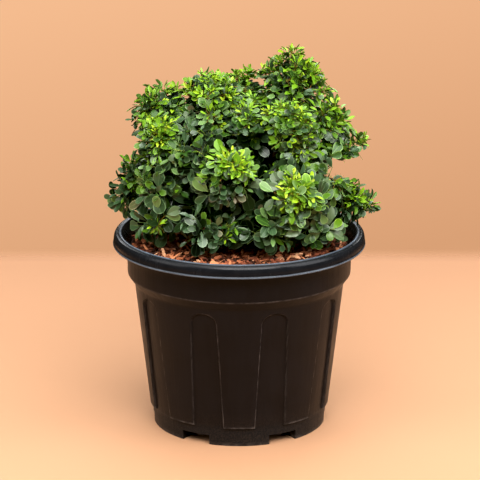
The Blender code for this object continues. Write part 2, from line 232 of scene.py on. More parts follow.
def soil_material(name, dark, mid, light, scale):
    """Crumbly brown mix, with flecks of fibre."""
    mat, s, n = patterned(name, 0.25)
    at = n.where()
    lumps = n.noise(at, scale, 6.0, 0.68, 0.4)
    crumbs = n.noise(at, scale * 4.2, 4.0, 0.7)
    fibre = n.noise(n.where((700, 160, 420), (2, 5, 1)), 1.0, 3.0, 0.6, 1.2)
    base = n.ramp(lumps, [(0.30, dark), (0.52, mid), (0.74, light)])
    base = n.mix(n.range(crumbs, 0.45, 0.72, 0.0, 0.55), base, dark)
    base = n.mix(n.range(fibre, 0.64, 0.76, 0.0, 0.6), base, light)
    n.link(base, s.inputs["Base Color"])
    n.link(n.range(lumps, 0.3, 0.7, 0.86, 0.98), s.inputs["Roughness"])
    normal = n.bump(crumbs, 0.7, 0.0009)
    n.link(n.bump(lumps, 0.8, 0.0022, normal), s.inputs["Normal"])
    return mat


def bark_material():
    """Brown bark: long fissures, paler ridges, pale lenticels."""
    mat, s, n = patterned("bark_relief", 0.30)
    at = n.where()
    fissure = n.noise(n.where((520, 520, 95)), 1.0, 5.0, 0.68, 0.8)
    cloud = n.noise(at, 120.0, 3.0, 0.55)
    spots = n.add("ShaderNodeTexVoronoi",
                  {"Vector": n.where((430, 430, 620)), "Scale": 1.0}
                  ).outputs["Distance"]
    base = n.ramp(fissure, [(0.32, (0.022, 0.012, 0.008)),
                            (0.50, (0.085, 0.045, 0.027)),
                            (0.72, (0.190, 0.115, 0.070))])
    base = n.mix(n.range(cloud, 0.35, 0.7, 0.0, 0.55), base,
                 (0.100, 0.072, 0.050))
    base = n.mix(n.range(spots, 0.16, 0.07, 0.0, 0.7), base,
                 (0.260, 0.180, 0.110))
    n.link(base, s.inputs["Base Color"])
    n.link(n.range(fissure, 0.3, 0.7, 0.92, 0.70), s.inputs["Roughness"])
    n.link(n.bump(fissure, 0.75, 0.0008), s.inputs["Normal"])
    return mat


# Leaf colours: the upper faces by age, with the plain underside and the midrib
# and margin of each; the margin's paleness is a painted highlight. They are
# dealt out by spray, and now and then by single leaflet.
LEAF_TONES = {
    "shade":     (0.003, 0.006, 0.002),
    "deep":      (0.013, 0.026, 0.007),
    "blue":      (0.031, 0.062, 0.021),
    "teal":      (0.052, 0.102, 0.043),
    "grey_blue": (0.094, 0.138, 0.064),
    "green":     (0.040, 0.096, 0.016),
    "mid":       (0.077, 0.160, 0.013),
    "mint":      (0.132, 0.226, 0.072),
    "fresh":     (0.130, 0.258, 0.014),
    "light":     (0.196, 0.350, 0.020),
    "lime":      (0.275, 0.425, 0.020),
    "yellow":    (0.345, 0.455, 0.030),
    "brown":     (0.150, 0.130, 0.066),
    "olive":     (0.088, 0.098, 0.038),
}
UNDER_OF = {"shade": "under_old", "deep": "under_old", "blue": "under_old",
            "teal": "under_old", "grey_blue": "under_old",
            "green": "under_mid", "mid": "under_mid", "mint": "under_mid",
            "fresh": "under_mid", "light": "under_new", "lime": "under_new",
            "yellow": "under_new", "brown": "under_old", "olive": "under_old"}
RIB_AND_HIGHLIGHT_OF = {"shade": "rib_and_highlight_dark", "deep": "rib_and_highlight_dark", "blue": "rib_and_highlight_old",
          "teal": "rib_and_highlight_old", "grey_blue": "rib_and_highlight_old", "green": "rib_and_highlight_mid",
          "mid": "rib_and_highlight_mid", "mint": "rib_and_highlight_mint", "fresh": "rib_and_highlight_new", "light": "rib_and_highlight_new",
          "lime": "rib_and_highlight_new", "yellow": "rib_and_highlight_new", "brown": "rib_and_highlight_tan",
          "olive": "rib_and_highlight_tan"}
EXTRA_TONES = {
    "under_old": (0.050, 0.092, 0.034),
    "under_mid": (0.092, 0.176, 0.034),
    "under_new": (0.190, 0.320, 0.030),
    "rib_and_highlight_dark":  (0.020, 0.042, 0.014),
    "rib_and_highlight_old":   (0.120, 0.190, 0.090),
    "rib_and_highlight_mid":   (0.165, 0.285, 0.062),
    "rib_and_highlight_mint":  (0.240, 0.370, 0.140),
    "rib_and_highlight_new":   (0.310, 0.470, 0.070),
    "rib_and_highlight_tan":   (0.230, 0.200, 0.108),
}


def leaf_materials():
    mats, index = [], {}
    for name, color in {**LEAF_TONES, **EXTRA_TONES}.items():
        young = name in ("light", "lime", "yellow", "under_new", "rib_and_highlight_new")
        under = name.startswith("under")
        dark = name in ("shade", "deep")
        mat = plain("leaf_" + name, color,
                    0.60 if under else 0.38 if young else 0.32,
                    0.25 if under else 0.08 if dark else 0.36 if young
                    else 0.46)
        index[name] = len(mats)
        mats.append(mat)
    return mats, index


TWIG_TONES = {
    "twig_brown":  (0.070, 0.030, 0.018),
    "twig_red":    (0.150, 0.052, 0.026),
    "twig_tan":    (0.170, 0.110, 0.050),
    "stalk_olive": (0.130, 0.190, 0.045),
    "stalk_lime":  (0.300, 0.360, 0.055),
    "stalk_amber": (0.340, 0.200, 0.035),
}

CHIP_TONES = {
    "chip_dark":   (0.035, 0.012, 0.007),
    "chip_umber":  (0.095, 0.030, 0.016),
    "chip_red":    (0.200, 0.062, 0.030),
    "chip_rust":   (0.330, 0.115, 0.052),
    "chip_orange": (0.480, 0.200, 0.095),
    "chip_tan":    (0.600, 0.330, 0.190),
}


# ====================================================================== meshes
class Builder:
    """Collects closed shapes, in millimetres, for one joined mesh."""

    def __init__(self):
        self.verts, self.faces, self.mats = [], [], []

    def add(self, verts, faces, mat=0):
        start = len(self.verts)
        self.verts.extend(verts)
        self.faces.extend([tuple(start + i for i in f) for f in faces])
        self.mats.extend([mat] * len(faces))

    def tube(self, points, radii, sides, mat=0, closed_ends=True):
        """A tapering closed tube along points."""
        side = None
        rings = []
        last = len(points) - 1
        for k, p in enumerate(points):
            ahead = points[min(k + 1, last)] - points[max(k - 1, 0)]
            if ahead.length < 1e-9:
                ahead = UP.copy()
            ahead.normalize()
            if side is None:
                side = ahead.orthogonal().normalized()
            side = side - ahead * side.dot(ahead)
            side.normalize()
            across = ahead.cross(side)
            rings.append([p + (side * math.cos(a) + across * math.sin(a))
                          * radii[k]
                          for a in (2 * math.pi * i / sides
                                    for i in range(sides))])
        verts = [v for ring in rings for v in ring]
        faces = []
        for k in range(last):
            for i in range(sides):
                j = (i + 1) % sides
                faces.append((k * sides + i, k * sides + j,
                              (k + 1) * sides + j, (k + 1) * sides + i))
        if closed_ends:
            faces.append(tuple(reversed(range(sides))))
            faces.append(tuple(last * sides + i for i in range(sides)))
        self.add(verts, faces, mat)

    def build(self, name, materials, sharp=40.0):
        mesh = bpy.data.meshes.new(name)
        mesh.from_pydata([tuple(v * MM) for v in self.verts], [], self.faces)
        mesh.polygons.foreach_set("material_index", self.mats)
        return finish_mesh(name, mesh, materials, sharp)


def finish_mesh(name, mesh, materials, sharp):
    for mat in materials:
        mesh.materials.append(mat)
    mesh.validate()
    mesh.update()
    mesh.shade_smooth()
    mesh.set_sharp_from_angle(angle=math.radians(sharp))
    obj = bpy.data.objects.new(name, mesh)
    bpy.context.scene.collection.objects.link(obj)
    return obj


def grid_mesh(name, rows, materials, sharp, cap_low=True, cap_high=True):
    """A closed mesh from rings of points of equal count."""
    count = len(rows[0])
    verts = [p for row in rows for p in row]
    faces = []
    for k in range(len(rows) - 1):
        for i in range(count):
            j = (i + 1) % count
            faces.append((k * count + i, k * count + j,
                          (k + 1) * count + j, (k + 1) * count + i))
    if cap_low:
        faces.append(tuple(reversed(range(count))))
    if cap_high:
        last = (len(rows) - 1) * count
        faces.append(tuple(last + i for i in range(count)))
    mesh = bpy.data.meshes.new(name)
    mesh.from_pydata([tuple(v * MM) for v in verts], [], faces)
    return finish_mesh(name, mesh, materials, sharp)


def polar(radius, degrees, z):
    """A point at this angle round the pot, with 0 at the front."""
    a = math.radians(degrees)
    return Vector((radius * math.sin(a), -radius * math.cos(a), z))


# ========================================================================= pot
BASE_RADIUS = 70.7
BASE_TOP_RADIUS = 71.2
STEP_Z = 16.2
WALL_BOTTOM_RADIUS = 73.5
WALL_TOP_RADIUS = 85.4
WALL_TOP_Z = 119.5
COLLAR_RADIUS = 90.9
COLLAR_Z = 127.2
WALL = 3.4
FLOOR = 3.4
FLUTES = 9
FLUTE_DEPTH = 2.1
FLUTE_LOW_HALF = 9.4
FLUTE_HIGH_HALF = 6.9
FLUTE_SPRING_Z = 106.0
FLUTE_ARCH = 7.8
FLUTE_SIDE = 1.25           # how far the side wall of a flute slopes out
NOTCHES = 6
NOTCH_HALF = 9.3
NOTCH_HEIGHT = 8.0
NOTCH_INNER_RADIUS = 53.0
DRAIN_RADIUS = 4.0
DRAIN_AT = 61.5


def land_radius(z):
    return lerp(WALL_BOTTOM_RADIUS, WALL_TOP_RADIUS,
                (z - STEP_Z) / (WALL_TOP_Z - STEP_Z))


def flute_depth(degrees, z):
    """How far the wall is pressed in at a place."""
    if z < STEP_Z - 2 or z > FLUTE_SPRING_Z + FLUTE_ARCH + 3:
        return 0.0
    pitch = 360.0 / FLUTES
    off = abs((degrees % pitch) - pitch / 2)
    per_degree = math.radians(1.0) * land_radius(z)
    if z <= FLUTE_SPRING_Z:
        half = lerp(FLUTE_LOW_HALF, FLUTE_HIGH_HALF,
                    (z - STEP_Z) / (FLUTE_SPRING_Z - STEP_Z))
        inside = (half - off) * per_degree
    else:
        x, y = off * per_degree, z - FLUTE_SPRING_Z
        a, b = FLUTE_HIGH_HALF * per_degree, FLUTE_ARCH
        rho = math.hypot(x / a, y / b)
        slope = math.hypot(x / a ** 2, y / b ** 2) / max(rho, 1e-6)
        inside = (1 - rho) / max(slope, 1e-6)
    x = clamp((inside + FLUTE_SIDE) / FLUTE_SIDE)
    # a straight draft with its two corners eased
    return FLUTE_DEPTH * lerp(x, smooth(x), 0.55)


def edge_glint(p):
    """How strong the painted highlight is at a point: along the flutes' edges, the
    step, the foot and the collar's lower edge.
    """
    radius = math.hypot(p.x, p.y)
    degrees = math.degrees(math.atan2(p.x, -p.y))
    glint_amount = 0.0
    if radius > land_radius(p.z) - 1.1:
        if STEP_Z < p.z < FLUTE_SPRING_Z + FLUTE_ARCH + 2:
            depth = flute_depth(degrees, p.z) / FLUTE_DEPTH
            centre = (degrees // (360.0 / FLUTES) + 0.5) * 360.0 / FLUTES
            # the flute edge nearer the front gets the full painted highlight, the
            # other a faint one
            front = abs(degrees) < abs(centre)
            if 0.02 < depth < 0.75:
                glint_amount = (1.0 if front else 0.25) * (1 - abs(depth - 0.2) / 0.55)
        glint_amount = max(glint_amount, 0.8 * (1 - abs(p.z - STEP_Z + 0.1) / 0.8))
    if radius > BASE_RADIUS - 0.6:
        glint_amount = max(glint_amount, 0.9 * (1 - p.z / 1.1))
        glint_amount = max(glint_amount, 0.45 * (1 - abs(p.z - COLLAR_Z) / 0.9))
    return clamp(glint_amount)


def pot_columns():
    """Angles of the mesh's columns, close together at the flutes' edges."""
    half = [0.0, 0.9, 1.8, 2.7, 3.6, 4.4, 5.1, 5.7, 6.2]
    half += [6.6, 6.95, 7.3, 7.65, 8.0, 8.4, 8.8, 9.15, 9.5, 9.8, 10.1,
             10.5, 11.2, 13.2, 15.6, 17.9]
    pitch = 360.0 / FLUTES
    angles = []
    for k in range(FLUTES):
        centre = pitch * (k + 0.5)
        angles += [centre + a for a in half] + [centre - a for a in half[1:]]
        angles.append(centre + pitch / 2)
    return sorted(a % 360.0 for a in angles)


def eased(points):
    """Round each corner (radius, z, ease) of a profile."""
    out = []
    for i, (r, z, ease) in enumerate(points):
        p = Vector((r, z))
        if ease <= 0 or i in (0, len(points) - 1):
            out.append(p)
            continue
        a = Vector(points[i - 1][:2]) - p
        b = Vector(points[i + 1][:2]) - p
        cut = min(ease, a.length * 0.45, b.length * 0.45)
        a, b = p + a.normalized() * cut, p + b.normalized() * cut
        steps = 2 if ease < 0.9 else 3
        for k in range(steps + 1):
            t = k / steps
            out.append(a * (1 - t) ** 2 + p * 2 * t * (1 - t) + b * t * t)
    return out


def build_pot():
    outside = eased([
        (8.0, 0.0, 0), (40.0, 0.0, 0), (64.0, 0.0, 0),
        (BASE_RADIUS, 0.0, 0.7), (BASE_RADIUS + 0.1, 3.5, 0),
        (BASE_RADIUS + 0.3, 8.0, 0), (BASE_TOP_RADIUS, 12.0, 0),
        (BASE_TOP_RADIUS, STEP_Z - 1.0, 0.35),
        (WALL_BOTTOM_RADIUS, STEP_Z - 0.35, 0.5)])
    z = STEP_Z + 1.4
    while z < FLUTE_SPRING_Z - 2:
        outside.append(Vector((land_radius(z), z)))
        z += 6.2
    z = FLUTE_SPRING_Z - 1.2
    while z < FLUTE_SPRING_Z + FLUTE_ARCH + 2.2:
        outside.append(Vector((land_radius(z), z)))
        z += 0.6
    outside += eased([
        (land_radius(z), z, 0), (WALL_TOP_RADIUS, WALL_TOP_Z, 1.6),
        (COLLAR_RADIUS - 0.1, COLLAR_Z - 0.5, 0.8),
        (COLLAR_RADIUS + 0.05, COLLAR_Z + 0.9, 0.4),
        (COLLAR_RADIUS + 0.2, 139.0, 0),
        (COLLAR_RADIUS + 0.4, 150.7, 0.8),
        (101.2, 150.35, 0.5), (102.35, 150.45, 0.5), (102.75, 151.2, 0.5),
        (102.45, 152.15, 0.4), (102.2, 152.6, 0.3),
        (102.1, 155.2, 1.2), (101.6, 158.2, 1.2), (100.3, 160.0, 1.0),
        (99.2, 160.35, 0.5), (98.45, 159.75, 0.35), (97.85, 160.3, 0.35),
        (97.2, 161.0, 0.6), (96.0, 160.95, 0.6), (95.2, 159.9, 0.6),
        (93.5, 157.6, 0.8), (COLLAR_RADIUS - 2.2, 150.3, 1.5),
        (COLLAR_RADIUS - 2.6, COLLAR_Z + 0.6, 1.0),
        (WALL_TOP_RADIUS - WALL, WALL_TOP_Z - 0.5, 1.0),
        (lerp(WALL_BOTTOM_RADIUS, WALL_TOP_RADIUS, 0.5) - WALL,
         lerp(STEP_Z, WALL_TOP_Z, 0.5), 0),
        (WALL_BOTTOM_RADIUS - WALL, STEP_Z, 0.5),
        (BASE_TOP_RADIUS - WALL + 0.2, FLOOR, 1.2),
        (40.0, FLOOR, 0), (8.0, FLOOR, 0)])
    turn = max(range(len(outside)), key=lambda i: outside[i].y)
    columns = pot_columns()
    rows = []
    for k, (r, z) in enumerate(outside):
        row = []
        for a in columns:
            radius = r
            if k < turn and z > STEP_Z - 1.2:
                depth = flute_depth(a, max(z, STEP_Z))
                radius = max(r - depth, min(r, BASE_TOP_RADIUS + 0.12))
            row.append(polar(radius, a, z))
        rows.append(row)
    pot = grid_mesh("pot_moulded", rows, [pot_material()], 28)

    def sector(bm, centre, half, inner, outer, low, high):
        corners = [(inner, -half * outer / inner * 0.86), (outer, -half),
                   (outer, half), (inner, half * outer / inner * 0.86)]
        a = [bm.verts.new(polar(r, centre + d, low) * MM) for r, d in corners]
        b = [bm.verts.new(polar(r, centre + d, high) * MM) for r, d in corners]
        for i in range(4):
            j = (i + 1) % 4
            bm.faces.new((a[i], a[j], b[j], b[i]))
        bm.faces.new(list(reversed(a)))
        bm.faces.new(b)

    def combine(operation, fill):
        bm = bmesh.new()
        fill(bm)
        bmesh.ops.recalc_face_normals(bm, faces=bm.faces)
        mesh = bpy.data.meshes.new("tool")
        bm.to_mesh(mesh)
        bm.free()
        tool = bpy.data.objects.new("tool", mesh)
        bpy.context.scene.collection.objects.link(tool)
        mod = pot.modifiers.new("tool", "BOOLEAN")
        mod.operation = operation
        mod.solver = "EXACT"
        mod.object = tool
        with bpy.context.temp_override(object=pot, active_object=pot):
            bpy.ops.object.modifier_apply(modifier=mod.name)
        bpy.data.objects.remove(tool)

    centres = [360.0 * (k + 0.5) / NOTCHES for k in range(NOTCHES)]

    def roofs(bm):
        for c in centres:
            sector(bm, c, NOTCH_HALF + 2.2, NOTCH_INNER_RADIUS - 2.6, 69.3,
                   FLOOR - 1.1, NOTCH_HEIGHT + 2.6)

    def pockets(bm):
        for c in centres:
            sector(bm, c, NOTCH_HALF, NOTCH_INNER_RADIUS, 80.0, -3.0,
                   NOTCH_HEIGHT)
            bmesh.ops.create_cone(
                bm, cap_ends=True, segments=24, radius1=DRAIN_RADIUS * MM,
                radius2=DRAIN_RADIUS * MM, depth=9.0 * MM,
                matrix=Matrix.Translation(
                    polar(DRAIN_AT, c, NOTCH_HEIGHT + 1.0) * MM))

    combine("UNION", roofs)
    combine("DIFFERENCE", pockets)
    pot.data.shade_smooth()
    pot.data.set_sharp_from_angle(angle=math.radians(28))
    # the painted edge highlights, stored at each vertex
    edge = pot.data.attributes.new("painted_edge_glint", "FLOAT", "POINT")
    for i, v in enumerate(pot.data.vertices):
        edge.data[i].value = edge_glint(v.co / MM)
    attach(pot, "root")
    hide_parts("pot")
    return pot


# ============================================================= growing medium
MULCH_OUTER = 88.05
MULCH_INNER = 9.5
STEM_FOOT = (1.0, 1.0)


def bed_height(x, y):
    """The mulch bed's uneven top."""
    p = Vector((x, y, 0))
    return (151.0 + 0.9 * noise.noise(p * 0.035 + Vector((3, 1, 7)))
            + 0.8 * noise.noise(p * 0.11) + 0.55 * noise.noise(p * 0.31)
            - 0.5 * smooth((p.length - 80) / 8))


def build_mulch():
    segments, rings = 240, 46
    rows = []

    def ring(part, z=None):
        row = []
        radius = lerp(MULCH_INNER, MULCH_OUTER, part)
        foot = Vector((STEM_FOOT[0], STEM_FOOT[1], 0)) * (1 - part)
        for i in range(segments):
            p = polar(radius, 360.0 * i / segments, 0) + foot
            p.z = bed_height(p.x, p.y) if z is None else z
            row.append(p)
        return row

    rows.append(ring(0.0, 147.35))
    rows += [ring(k / rings) for k in range(rings + 1)]
    rows.append(ring(1.0, 147.35))
    count = segments
    verts = [p for row in rows for p in row]
    faces = []
    for k in range(len(rows)):
        m = (k + 1) % len(rows)
        for i in range(count):
            j = (i + 1) % count
            faces.append((k * count + i, m * count + i,
                          m * count + j, k * count + j))
    mesh = bpy.data.meshes.new("mulch_bed")
    mesh.from_pydata([tuple(v * MM) for v in verts], [], faces)
    bm = bmesh.new()
    bm.from_mesh(mesh)
    bmesh.ops.recalc_face_normals(bm, faces=bm.faces)
    bm.to_mesh(mesh)
    bm.free()
    bed = finish_mesh("mulch_bed", mesh, [soil_material(
        "mulch_bed", (0.016, 0.008, 0.005), (0.060, 0.024, 0.013),
        (0.150, 0.060, 0.030), 330.0)], 35)
    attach(bed, "root")
    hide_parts("bark_mulch")

    nodes["potting_mix"].data.materials.clear()
    nodes["potting_mix"].data.materials.append(soil_material(
        "damp_mix", (0.008, 0.005, 0.003), (0.028, 0.016, 0.010),
        (0.070, 0.042, 0.026), 260.0))
    return bed


def build_chips(seed, count):
    """Torn flakes and shreds of bark, lying over each other on the bed."""
    rng = random.Random(seed)
    out = Builder()
    names = list(CHIP_TONES)
    weights = [2.2, 3.2, 3.6, 3.0, 1.7, 0.8]
    for k in range(count):
        shred = rng.random() < 0.30
        if shred:
            length = rng.uniform(6.0, 13.0)
            width = rng.uniform(1.0, 1.9)
            thick = rng.uniform(0.6, 1.2)
        else:
            length = rng.uniform(4.5, 11.0)
            width = length * rng.uniform(0.30, 0.55)
            thick = rng.uniform(1.0, 2.3)
        radius = math.sqrt(rng.uniform(11.5 ** 2, 87.0 ** 2))
        radius = min(radius, 87.3 - length * 0.42)
        if radius < 12.0:
            continue
        angle = rng.uniform(0, 360)
        spot = polar(radius, angle, 0)
        layer = rng.random() ** 1.7
        z = bed_height(spot.x, spot.y) + thick * 0.3 + layer * 3.0
        spin = rng.uniform(0, 2 * math.pi)
        tilt = math.radians(rng.gauss(0, 15))
        if layer > 0.35 and rng.random() < 0.4:
            tilt += math.radians(rng.uniform(-42, 42))
        roll = math.radians(rng.gauss(0, 22))
        turn = (Matrix.Rotation(spin, 3, "Z") @ Matrix.Rotation(tilt, 3, "Y")
                @ Matrix.Rotation(roll, 3, "X"))
        bend = rng.uniform(-0.10, 0.10) * length
        verts, faces = [], []
        stations = 4 if length < 6.5 else 5
        side = 0.0
        for s in range(stations):
            u = s / (stations - 1)
            taper = (0.35 + 0.65 * math.sin(math.pi * (0.12 + 0.76 * u)) ** 0.7)
            taper *= rng.uniform(0.72, 1.15)
            if s in (0, stations - 1):
                taper *= rng.uniform(0.35, 0.9)
            side += rng.uniform(-0.22, 0.22) * width
            mid = Vector(((u - 0.5) * length, side,
                          bend * (1 - (2 * u - 1) ** 2)))
            w, h = width / 2 * taper, thick / 2 * lerp(1, taper, 0.5)
            for dx, dz in ((-1, -1), (1, -1), (1, 1), (-1, 1)):
                verts.append(mid + Vector((
                    rng.uniform(-0.10, 0.10) * length / stations,
                    dx * w * rng.uniform(0.75, 1.15),
                    dz * h * rng.uniform(0.6, 1.25))))
        for s in range(stations - 1):
            for i in range(4):
                j = (i + 1) % 4
                faces.append((s * 4 + i, s * 4 + j,
                              s * 4 + 4 + j, s * 4 + 4 + i))
        faces.append((3, 2, 1, 0))
        last = (stations - 1) * 4
        faces.append((last, last + 1, last + 2, last + 3))
        lean = abs(math.sin(tilt)) * length / 2
        place = Vector((spot.x, spot.y, z + lean * 0.45))
        tone = rng.choices(names, weights)[0]
        out.add([place + turn @ v for v in verts], faces, names.index(tone))
    mats = [plain(name, color, 0.82, 0.28) for name, color in CHIP_TONES.items()]
    chips = out.build("bark_chips", mats, 25)
    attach(chips, "root")
    return chips


# ======================================================================= limbs
STEM_TIP = (8.0, 5.0, 212.0)
STEM_RADII = ((0.0, 10.2), (0.05, 8.4), (0.12, 7.1), (0.25, 6.4), (0.5, 5.8),
              (0.75, 5.1), (0.92, 4.2), (1.0, 2.6))
FLARE_LOBES = 5
BOUGH_FOOT = 2.3
BOUGH_TIP = 1.2

# centre; half sizes; leading tip of each foliage mass, as in the solids
MASSES = {
    "far_left_low":      ((-86, 2, 196), (23, 24, 38), (-110, 0, 182)),
    "left_column":       ((-62, -18, 241), (20, 24, 24), None),
    "left_tuft":         ((-64, 5, 263), (23, 23, 20), (-89, 4, 258)),
    "centre_left_dome":  ((-24, 0, 267), (28, 30, 28), None),
    "centre_left_mid":   ((-32, -36, 232), (25, 25, 28), None),
    "back_tuft":         ((3, 38, 265), (18, 22, 21), None),
    "top_column":        ((43, 18, 281), (29, 28, 27), (41, 20, 313)),
    "centre_mid":        ((11, -10, 250), (24, 26, 26), None),
    "right_mid_front":   ((39, -35, 252), (23, 23, 27), None),
    "right_shoulder":    ((68, 12, 251), (19, 24, 24), None),
    "right_edge":        ((78, 4, 226), (18, 22, 19), (102, 6, 241)),
    "centre_front":      ((-8, -55, 220), (28, 21, 27), None),
    "right_front":       ((44, -56, 205), (28, 23, 27), None),
    "right_inner":       ((67, -20, 210), (22, 26, 25), None),
    "lower_right":       ((86, -4, 189), (22, 26, 22), (111, -4, 187)),
    "left_mid":          ((-62, -30, 209), (22, 23, 25), None),
    "skirt_left":        ((-64, -28, 181), (24, 26, 24), None),
    "skirt_front_left":  ((-26, -52, 180), (26, 22, 24), None),
    "skirt_front_right": ((23, -56, 177), (26, 20, 22), None),
    "skirt_right":       ((62, -37, 176), (25, 23, 20), None),
    "back_left_upper":   ((-46, 42, 246), (28, 26, 26), None),
    "back_upper":        ((20, 62, 246), (29, 24, 27), None),
    "back_right_upper":  ((62, 48, 234), (26, 26, 28), None),
    "back_left_mid":     ((-66, 42, 206), (27, 27, 27), None),
    "back_mid":          ((-12, 70, 212), (30, 24, 28), None),
    "back_right_mid":    ((66, 50, 194), (28, 27, 28), None),
    "skirt_back_left":   ((-42, 56, 178), (30, 26, 23), None),
    "skirt_back_right":  ((26, 66, 180), (30, 24, 24), None),
}

# how far up the stem each bough leaves it
BOUGH_STARTS = {
    "skirt_left": 0.17, "skirt_front_left": 0.15, "skirt_front_right": 0.18,
    "skirt_right": 0.21, "skirt_back_left": 0.17, "skirt_back_right": 0.19,
    "far_left_low": 0.28, "lower_right": 0.34, "left_mid": 0.38,
    "right_front": 0.36, "back_left_mid": 0.36, "back_right_mid": 0.33,
    "centre_front": 0.50, "right_inner": 0.52, "back_mid": 0.46,
    "centre_left_mid": 0.60, "right_edge": 0.62, "left_column": 0.68,
    "back_left_upper": 0.64, "back_right_upper": 0.60, "right_mid_front": 0.74,
    "left_tuft": 0.84, "right_shoulder": 0.78, "back_upper": 0.74,
    "centre_left_dome": 0.93, "top_column": 0.93, "centre_mid": 1.0,
}


def stem_centre(t):
    foot = Vector((STEM_FOOT[0], STEM_FOOT[1], 147.3))
    bow = Vector((-2.4, 1.8, 0.0)) * math.sin(math.pi * t)
    return foot.lerp(Vector(STEM_TIP), t) + bow


def stem_radius(t):
    for (t0, r0), (t1, r1) in zip(STEM_RADII, STEM_RADII[1:]):
        if t <= t1:
            return lerp(r0, r1, (t - t0) / (t1 - t0))
    return STEM_RADII[-1][1]


def bough_curve(name):
    """Start, knee and end of a bough, as in the solids."""
    centre, size, _ = MASSES[name]
    centre = Vector(centre)
    t = BOUGH_STARTS[name]
    axis = stem_centre(t)
    out = centre - axis
    side = Vector((out.x, out.y, 0.0)).normalized()
    rise = max(0.25, out.normalized().z)
    leave = (side * (1.0 - 0.55 * rise) + Vector((0, 0, rise))).normalized()
    if t >= 1.0:
        leave = Vector((0.15, -0.2, 1.0)).normalized()
        start = axis + Vector((0, 0, 0.4)) + leave * 0.2
    else:
        start = axis + side * (stem_radius(t) * 1.04 + 0.3
                               + BOUGH_FOOT * abs(leave.z) * 1.02)
    inward = start - centre
    reach = 0.55 / math.sqrt(sum((inward[i] / inward.length / size[i]) ** 2
                                 for i in range(3)))
    end = centre + inward.normalized() * reach
    knee = start + leave * (end - start).length * 0.45
    return start, knee, end


def bend_at(curve, u):
    a, b, c = curve
    return a * (1 - u) ** 2 + b * 2 * u * (1 - u) + c * u * u


def relief_tube(out, points, radii, sides, seed, rough):
    """A closed tube with uneven, ridged bark."""
    side = None
    verts, faces = [], []
    last = len(points) - 1
    for k, p in enumerate(points):
        ahead = points[min(k + 1, last)] - points[max(k - 1, 0)]
        ahead.normalize()
        if side is None:
            side = ahead.orthogonal().normalized()
        side = (side - ahead * side.dot(ahead)).normalized()
        across = ahead.cross(side)
        for i in range(sides):
            a = 2 * math.pi * i / sides
            way = side * math.cos(a) + across * math.sin(a)
            q = way * 1.7 + Vector((seed * 3.7, 0, k * 0.32))
            ridge = noise.noise(q) + 0.6 * noise.noise(
                way * 4.1 + Vector((0, seed * 2.3, k * 0.21)))
            verts.append(p + way * radii[k] * (1 + rough * ridge))
    for k in range(last):
        for i in range(sides):
            j = (i + 1) % sides
            faces.append((k * sides + i, k * sides + j,
                          (k + 1) * sides + j, (k + 1) * sides + i))
    faces.append(tuple(reversed(range(sides))))
    faces.append(tuple(last * sides + i for i in range(sides)))
    out.add(verts, faces, 0)


def build_limbs():
    out = Builder()
    rings, sides = 84, 44
    verts, faces = [], []
    for k in range(rings + 1):
        t = k / rings
        centre = stem_centre(t)
        flare = max(0.0, 1 - t / 0.16)
        for i in range(sides):
            a = 2 * math.pi * i / sides
            r = stem_radius(t) * (
                1 + 0.14 * flare * math.cos(FLARE_LOBES * a + 0.6)
                + 0.03 * math.sin(3 * a + 9 * t))
            q = Vector((math.cos(a) * 2.4, math.sin(a) * 2.4, t * 5.0))
            r *= (1 + 0.075 * noise.noise(q * 1.9)
                  - 0.06 * abs(noise.noise(Vector((q.x * 3.4, q.y * 3.4,
                                                   t * 7.0)))))
            verts.append(centre + Vector((r * math.cos(a), r * math.sin(a), 0)))
    for k in range(rings):
        for i in range(sides):
            j = (i + 1) % sides
            faces.append((k * sides + i, k * sides + j,
                          (k + 1) * sides + j, (k + 1) * sides + i))
    faces.append(tuple(reversed(range(sides))))
    faces.append(tuple(rings * sides + i for i in range(sides)))
    out.add(verts, faces, 0)

    for seed, name in enumerate(BOUGH_STARTS):
        start, knee, end = bough_curve(name)
        points = [start + (stem_centre(BOUGH_STARTS[name]) - start) * 0.8]
        radii = [BOUGH_FOOT * 1.25]
        for k in range(15):
            u = k / 14
            points.append(bend_at((start, knee, end), u))
            radii.append(lerp(BOUGH_FOOT, BOUGH_TIP, u ** 0.8)
                         * (1 + 0.25 * max(0.0, 1 - u * 9)))
        relief_tube(out, points, radii, 14, seed + 1, 0.10)
    limbs = out.build("bark_limbs", [bark_material()], 60)
    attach(limbs, "root")
    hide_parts("stem", *["bough_" + n for n in BOUGH_STARTS])
    return limbs


